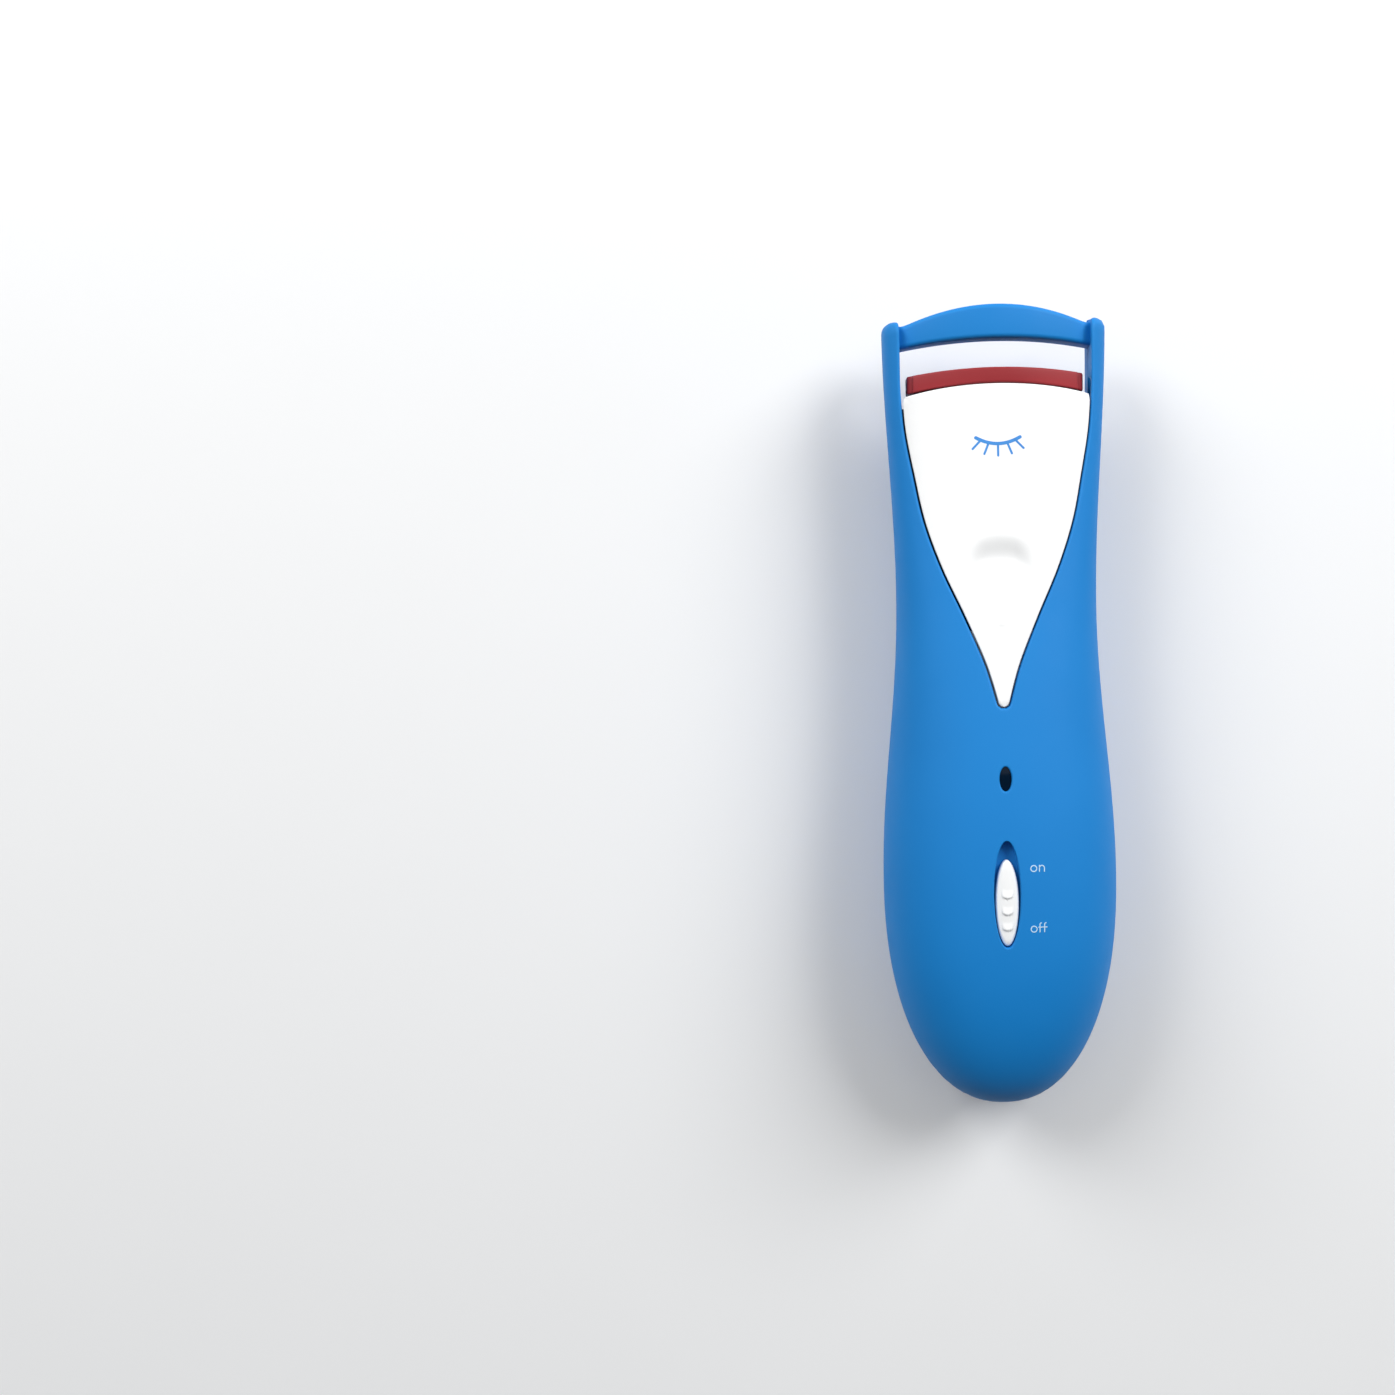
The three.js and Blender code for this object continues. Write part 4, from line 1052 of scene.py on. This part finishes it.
def dome(y, half, base_z, top, rings=34, segments=96):
    """A closed dome over an ellipse on the middle line, its height given by top(share, x, y)."""
    def ring(share, z):
        plan = [(half[0] * share * c, y + half[1] * share * s) for c, s in circle(segments)]
        return [(px, py, z(share, px, py)) for px, py in plan]

    shares = [(i / rings) ** 0.8 for i in range(rings, 0, -1)]
    vertices, faces = loft([ring(1, lambda *_: base_z), *[ring(share, top) for share in shares]])
    last = faces.pop()
    for k, corner in enumerate(last):
        faces.append((len(vertices), corner, last[(k + 1) % segments]))
    return [*vertices, (0, y, top(0, 0, y))], faces


def ridge_height(x, y):
    """Three crescents with a sharp edge towards the tail."""
    total = 0.0
    for offset in RIDGE_OFFSETS:
        across = x / RIDGE_HALF
        if abs(across) >= 1:
            continue
        edge = KNOB_Y + offset - 0.3 * (1 - across ** 2)
        behind = y - edge
        rise = float(smooth((behind + 0.1) / 0.16))
        fall = 1 - float(smooth(behind / 1.25))
        total += RIDGE_HEIGHT * rise * fall * (1 - across ** 2) ** 0.6
    return total


def make_knob():
    def top(share, x, y):
        crown = KNOB_TOP_Z - RIDGE_HEIGHT - KNOB_CROWN * share ** 2
        inward = (1 - share) * KNOB_HALF[0] * 1.4
        return crown - float(rounding(np.array(inward), np.array(KNOB_CORNER))) + ridge_height(x, y)

    cap = dome(KNOB_Y, KNOB_HALF, KNOB_BASE_Z, top)
    across, along = STEM_HALF
    stem = block(-across, across, KNOB_Y - along, KNOB_Y + along, *STEM_Z)
    piece("switch_knob_cap", [cap, stem], WHITE, "switch", "gloss_white", ["switch_knob"], degrees=50)


def make_lens():
    half = np.array(WINDOW_HALF) - LENS_GAP
    lens = dome(WINDOW_Y, half, LENS_Z[0], lambda share, x, y: LENS_Z[1] - 0.1 * share ** 2, 10, 48)
    flange = dome(WINDOW_Y, half + FLANGE_REACH, FLANGE_Z[0], lambda share, x, y: FLANGE_Z[1], 4, 48)
    piece("led_lens_window", [lens, flange], LENS, "handle", "smoked_lens", ["led_lens"])


# ---------------------------------------------------------------- back shell and battery cover

def cover_loop(gap):
    """Edge between the battery cover and the back shell, moved outwards by gap."""
    height = COVER_TOP_Z + gap
    head = COVER_HEAD_Y + gap
    depth = station(BACK.y)[2]
    first = BACK.y[np.argmax(PARTING_Z - depth < height)]
    v0, v1 = np.interp([first, head], BACK.y, BACK.v)
    v = v0 + (v1 - v0) * np.linspace(0, 1, 160) ** 1.6
    y = np.interp(v, BACK.v, BACK.y)
    right = columns(BACK.flat_at_height(y, height), v)
    return np.vstack([right, (right * (-1, 1))[::-1][:-1]])


def make_back_shell():
    inner_arm = [(THROAT_HALF_WIDTH, y) for y in (*INNER_ARM_Y, 46, THROAT_START)]
    edge = half_loop(BACK, inner_arm, [(x, THROAT_START) for x in np.linspace(12, -12, 17)])
    loops = [Loop(edge, SEAM_RADIUS), Loop(cover_loop(COVER_GAP), COVER_EDGE_RADIUS)]
    wells = []
    for x in (-SIDE_SCREW[0], SIDE_SCREW[0]):
        hole = ellipse(x, SIDE_SCREW[1], (WELL_RADIUS, WELL_RADIUS), 40)
        loops.append(Loop(BACK.flat(*hole.T), 0.25, 0.35))
        vertices, faces = lathe(WELL_PROFILE, x, SIDE_SCREW[1], 0)
        vertices = np.array(vertices)
        low = vertices[:, 2] < 2
        vertices[low, 2] = BACK.height(*vertices[low, :2].T) + WELL_DEPTH
        wells.append((vertices, faces))
    parts = [shell(BACK, loops, spacing=1.3, solid_ranges=BACK_SOLID), *wells]
    piece("back_shell_skin", parts, BLUE, "handle", "soft_touch_blue", ["back_shell"])


def grip(x, y):
    """Thumb grip on the cover: a shallow dish with raised bars."""
    reach = (x / GRIP_HALF[0]) ** 2 + ((y - GRIP_Y) / GRIP_HALF[1]) ** 2
    dish = 0.45 * (1 - smooth(reach))
    pitch = 2 * GRIP_HALF[1] * 0.72 / (GRIP_LINES - 1)
    bars = np.zeros_like(x)
    for k in range(GRIP_LINES):
        at = GRIP_Y + (k - (GRIP_LINES - 1) / 2) * pitch
        length = GRIP_HALF[0] * np.sqrt(max(0.05, 1 - ((at - GRIP_Y) / GRIP_HALF[1]) ** 2)) * 0.72
        inside_ends = 1 - smooth((np.abs(x) - length + 0.4) / 0.5)
        bars += 0.38 * np.exp(-((y - at) / 0.3) ** 2) * inside_ends
    return dish - np.minimum(bars, dish)


def make_battery_cover():
    loops = [Loop(cover_loop(0), COVER_EDGE_RADIUS)]

    def dished(outer, flat):
        outer[:, 2] += grip(outer[:, 0], outer[:, 1])
        return outer

    part = shell(BACK, loops, spacing=1.3, fine_areas=[(BACK.area(*GRIP_AREA), 0.3)], shape=dished)
    tongue, root = [block(-TONGUE_HALF, TONGUE_HALF, *sizes) for sizes in (TONGUE, TONGUE_ROOT)]
    piece("battery_cover_skin", [part, tongue, root], BLUE, "cover", "soft_touch_blue", ["battery_cover"])


# ---------------------------------------------------------------- cells, springs, leads and screws

CELL_LENGTH = 44.5
CELL_RADIUS = 5.25
CELL_X = 5.5
CELL_Z = 7.0
CELL_START = {"left": -39.2, "right": -41.3}
CONTACT_SPRINGS = {"tail": (-CELL_X, -41.3, 1), "head": (CELL_X, 5.3, -1)}
SPRING_X = 8.0
SPRING_Z = 9.0
SPRING_START_Y = 17.9
SPRING_END_Y = 30.8

# Coils: turns, radius at the start and end, steps a turn, and how far the end turns are closed up
CONTACT_COIL = (2.5, 3.2, 1.8, 24, 0)
CONTACT_WIRE = 0.22
RETURN_COIL = (6.5, 1.45, 1.45, 20, 0.35)
RETURN_WIRE = 0.2
LEAD_RADIUS = 0.45
LEAD_ROUTE = [
    (2, 6.8, 16.5), (2.4, 9.5, 15.9), (3.6, 12.5, 15.4), (1.6, 15.5, 15.2), (3.2, 18.5, 15.1),
    (2.2, 22.5, 15), (2.2, 30, 15), (2.2, 38, 15), (2.2, 43.2, 15),
]
LEAD_FREE = (9.5, 22.5)

CROSS_DEPTH = 0.6

# Screws: x, y, height of the head's face, height of the tip, head radius and shank radius
SHELL_SCREWS = {
    "shell_screw_left": (-SIDE_SCREW[0], SIDE_SCREW[1], 3.3, 17.4, 2.0, 0.75),
    "shell_screw_right": (SIDE_SCREW[0], SIDE_SCREW[1], 3.3, 17.4, 2.0, 0.75),
    "shell_screw_tail": (0, TAIL_SCREW_Y, 8.8, 17.4, 2.0, 0.75),
    "board_screw_rear": (-6.5, -41, 18.2, 13.4, 1.6, 0.7),
    "board_screw_front": (6.5, 3, 18.2, 13.4, 1.6, 0.7),
}
PANEL_SCREWS = {
    "panel_screw_left": (-PANEL_SCREW[0], PANEL_SCREW[1], 12.25, 17.2, 1.5, 0.7),
    "panel_screw_right": (PANEL_SCREW[0], PANEL_SCREW[1], 12.25, 17.2, 1.5, 0.7),
}


def make_cells():
    sleeve = [
        (0, 1.1), (4.3, 1.1), (4.75, 1.25), (5.15, 1.5), (CELL_RADIUS, 1.75), (CELL_RADIUS, 43.9),
        (5.15, 44.2), (4.75, 44.35), (4.3, 44.4), (0, 44.4),
    ]
    pole = [(0, 0), (1.75, 0), (1.9, 0.15), (1.9, 0.85), (2.1, 1.0), (4.1, 1.02), (4.1, 1.3), (0, 1.3)]
    foot = [(0, 44.2), (4.1, 44.2), (4.1, 44.44), (1.2, 44.48), (0, 44.48)]
    caps = []
    for side, sign, material in (("left", -1, WRAP_LEFT), ("right", 1, WRAP_RIGHT)):
        def turned(profile):
            if side == "left":
                profile = [(radius, CELL_LENGTH - along) for radius, along in profile[::-1]]
            return lathe(profile, sign * CELL_X, CELL_START[side], CELL_Z, "y")
        piece(f"cell_sleeve_{side}", [turned(sleeve)], material, "handle", "cell_wrap", [f"battery_{side}"])
        caps += [turned(pole), turned(foot)]
    piece("cell_caps", caps, NICKEL, "handle", "nickel_steel")


def coil(x, z, y0, y1, turns, start_radius, end_radius, steps_per_turn, close):
    """Points along a coil about Y, its end turns closed up by the share close."""
    t = np.linspace(0, 1, int(turns * steps_per_turn) + 1)
    radius = start_radius + (end_radius - start_radius) * t
    along = (1 - close) * t + close * (1 - np.cos(np.pi * t)) / 2
    angle = 2 * np.pi * turns * t
    return columns(x + radius * np.cos(angle), y0 + (y1 - y0) * along, z + radius * np.sin(angle))


def make_springs():
    for end, (x, y, way) in CONTACT_SPRINGS.items():
        path = coil(x, CELL_Z, y + way * CONTACT_WIRE, y + way * 1.62, *CONTACT_COIL)
        name = f"contact_spring_{end}"
        piece(f"{name}_wire", [tube(path, CONTACT_WIRE, 8)], NICKEL, "handle", "nickel_steel", [name])
    for label, sign in (("left", -1), ("right", 1)):
        y0, y1 = SPRING_START_Y + RETURN_WIRE, SPRING_END_Y - RETURN_WIRE
        path = coil(sign * SPRING_X, SPRING_Z, y0, y1, *RETURN_COIL)
        name = f"return_spring_{label}"
        spring = piece(f"{name}_wire", [tube(path, RETURN_WIRE, 8)], NICKEL, "handle", "nickel_steel", [name])
        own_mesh(spring)


def make_leads():
    wires = (("left", -1, RED_WIRE, "red_wire"), ("right", 1, BLACK_WIRE, "black_wire"))
    for label, sign, material, slot in wires:
        path = through([(sign * x, y, z) for x, y, z in LEAD_ROUTE], 6)
        name = f"heater_lead_{label}"
        lead = piece(f"{name}_wire", [tube(path, LEAD_RADIUS)], material, None, slot, [name])
        start, end = [(0, (y - MIDDLE_Y) * MM, LEAD_ROUTE[0][2] * MM) for y in LEAD_FREE]
        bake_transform(lead)
        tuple(start)
        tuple(end)


def cross_screw(x, y, face_z, tip_z, head, shank):
    """A pan-head screw with a cross recess and a ridged shank."""
    up = math.copysign(1, tip_z - face_z)
    wide, narrow, sides = head * 0.62, head * 0.17, 32
    length = abs(tip_z - face_z)
    profile = [(head * 0.86, 0), (head * 0.97, 0.12), (head, 0.35), (head, 1.0), (shank, 1.0)]
    for z in np.arange(1.5, length - 1.1, 0.7):
        profile += [(shank * 0.75, z), (shank, z + 0.25), (shank * 0.75, z + 0.5)]
    profile += [(shank * 0.7, length - 0.4), (shank * 0.2, length)]
    vertices, faces = loft([[(r * c, r * s, z) for c, s in circle(sides)] for r, z in profile])
    del faces[-2]
    quarter = [(wide, -narrow), (wide, narrow), (narrow, narrow)]
    top = len(vertices)
    for scale, z in ((1, 0), (0.7, CROSS_DEPTH)):
        for _ in range(4):
            vertices += [(a * scale, b * scale, z) for a, b in quarter]
            quarter = [(-b, a) for a, b in quarter]
    points = [Vector(p[:2]) for p in vertices[:sides] + vertices[top:top + 12]]
    edges = ring_edges(sides) + [(sides + i, sides + j) for i, j in ring_edges(12)]
    for face in delaunay_2d_cdt(points, edges, [], 0, 1e-5)[2]:
        middle = sum((points[i] for i in face), Vector((0, 0))) / len(face)
        a, b = abs(middle.x), abs(middle.y)
        if max(a, b) > wide or min(a, b) > narrow:
            faces.append(tuple(i if i < sides else top + i - sides for i in face))
    floor = top + 12
    faces += [(top + i, floor + i, floor + j, top + j) for i, j in ring_edges(12)]
    faces.append(tuple(floor + k for k in range(12)))
    placed = [(x + a, y + b, face_z + up * c) for a, b, c in vertices]
    return placed, [tuple(reversed(f)) for f in faces] if up > 0 else faces


def make_screws():
    shell_screws = [cross_screw(*place) for place in SHELL_SCREWS.values()]
    piece("shell_and_board_screws", shell_screws, STEEL, "handle", "screw_steel", list(SHELL_SCREWS))
    panel_screws = [cross_screw(*place) for place in PANEL_SCREWS.values()]
    piece("panel_screws", panel_screws, STEEL, "clamp", "screw_steel", list(PANEL_SCREWS))


# ---------------------------------------------------------------- printed marks

def ribbon(points, width, lift=0.03, caps=6):
    """A thin closed strip with round ends along a plan curve, half sunk in the front surface."""
    points = np.asarray(points, float)
    tangent = unit(np.gradient(points, axis=0))
    across = square_to(tangent) * width / 2

    def cap(end, outward):
        rows = []
        for k in range(1, caps):
            angle = math.pi / 2 * k / caps
            reach = tangent[end] * outward * width / 2 * math.sin(angle)
            rows.append((points[end] + reach, across[end] * math.cos(angle)))
        return rows

    rings = []
    for centre, half in [*cap(0, -1)[::-1], *zip(points, across), *cap(-1, 1)]:
        (a, za), (b, zb) = [(p, float(FRONT.height(*p))) for p in (centre + half, centre - half)]
        rings.append([(*a, za + lift), (*b, zb + lift), (*b, zb - lift), (*a, za - lift)])
    return loft(rings)


def arc(x, y, radius, start, end, steps=20):
    angle = np.radians(np.linspace(start, end, steps))
    return columns(x + radius * np.cos(angle), y + radius * np.sin(angle))


def line(x0, y0, x1, y1, steps=6):
    return columns(np.linspace(x0, x1, steps), np.linspace(y0, y1, steps))


LETTER = 0.43
ON_Y = -22.8
OFF_Y = -31.6
INK_WIDTH = 0.15


def letter_o(x, y):
    return [arc(x, y, LETTER, 0, 360, 32)]


def letter_n(x, y):
    bow = arc(x, y + 0.06, LETTER * 0.84, 180, 0, 16)
    left = line(x - LETTER * 0.84, y - LETTER, x - LETTER * 0.84, y + LETTER)
    right = line(x + LETTER * 0.84, y + 0.06, x + LETTER * 0.84, y - LETTER)
    return [left, np.vstack([bow, right[1:]])]


def letter_f(x, y):
    hook = arc(x + LETTER / 2, y + LETTER * 1.54, LETTER / 2, 90, 180, 8)
    stem = line(x, y + LETTER * 1.54, x, y - LETTER)
    bar = line(x - LETTER * 0.38, y + LETTER * 0.62, x + LETTER * 0.8, y + LETTER * 0.62)
    return [np.vstack([hook, stem[1:]]), bar]


def make_switch_words():
    strokes = letter_o(3.8, ON_Y) + letter_n(4.98, ON_Y)
    strokes += letter_o(3.75, OFF_Y) + letter_f(4.6, OFF_Y) + letter_f(5.28, OFF_Y)
    parts = [ribbon(stroke, INK_WIDTH) for stroke in strokes]
    piece("on_off_print", parts, INK_PALE, "handle", "soft_touch_blue")


MARK_Y = 38.6
LID_HALF = 3.2
LID_SAG = 0.9
LASH_TILTS = (-44, -22, 0, 22, 44)
LASH_LENGTH = 1.75


def make_panel_mark():
    """A generic mark: a closed eyelid with five lashes."""
    lid = [(x, MARK_Y + LID_SAG * (x / LID_HALF) ** 2) for x in np.linspace(-LID_HALF, LID_HALF, 24)]
    parts = [ribbon(lid, 0.5, 0.02)]
    for tilt in LASH_TILTS:
        angle = math.radians(tilt)
        x0 = 3.1 * math.sin(angle) * 1.15
        y0 = MARK_Y + LID_SAG * (x0 / LID_HALF) ** 2
        lash = line(x0, y0, x0 + LASH_LENGTH * math.sin(angle), y0 - LASH_LENGTH * math.cos(angle))
        parts.append(ribbon(lash, 0.32, 0.02))
    piece("panel_lash_mark", parts, INK_BLUE, "clamp", "gloss_white")


# ---------------------------------------------------------------- build

make_front_shell()
make_thumb_slide()
make_lash_bar()
make_pad()
make_knob()
make_lens()
make_back_shell()
make_battery_cover()
make_cells()
make_springs()
make_leads()
make_screws()
make_switch_words()
make_panel_mark()

NODE_MATERIALS = [
    (BLACK, ["slide_carriage", "switch_slider", "timer_chip", "power_transistor", "capacitor"]),
    (NICKEL, ["slide_switch", "contact_bridge", "contact_plate_left", "contact_plate_right"]),
    (NYLON, ["battery_tray"]), (ALUMINIUM, ["heater_plate"]), (CERAMIC, ["heater_element"]),
    (EPOXY, ["indicator_led"]), (LAMINATE, ["circuit_board"]),
]
for material, names in NODE_MATERIALS:
    for name in names:
        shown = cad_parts[name]
        shown.data.materials.clear()
        shown.data.materials.append(material)
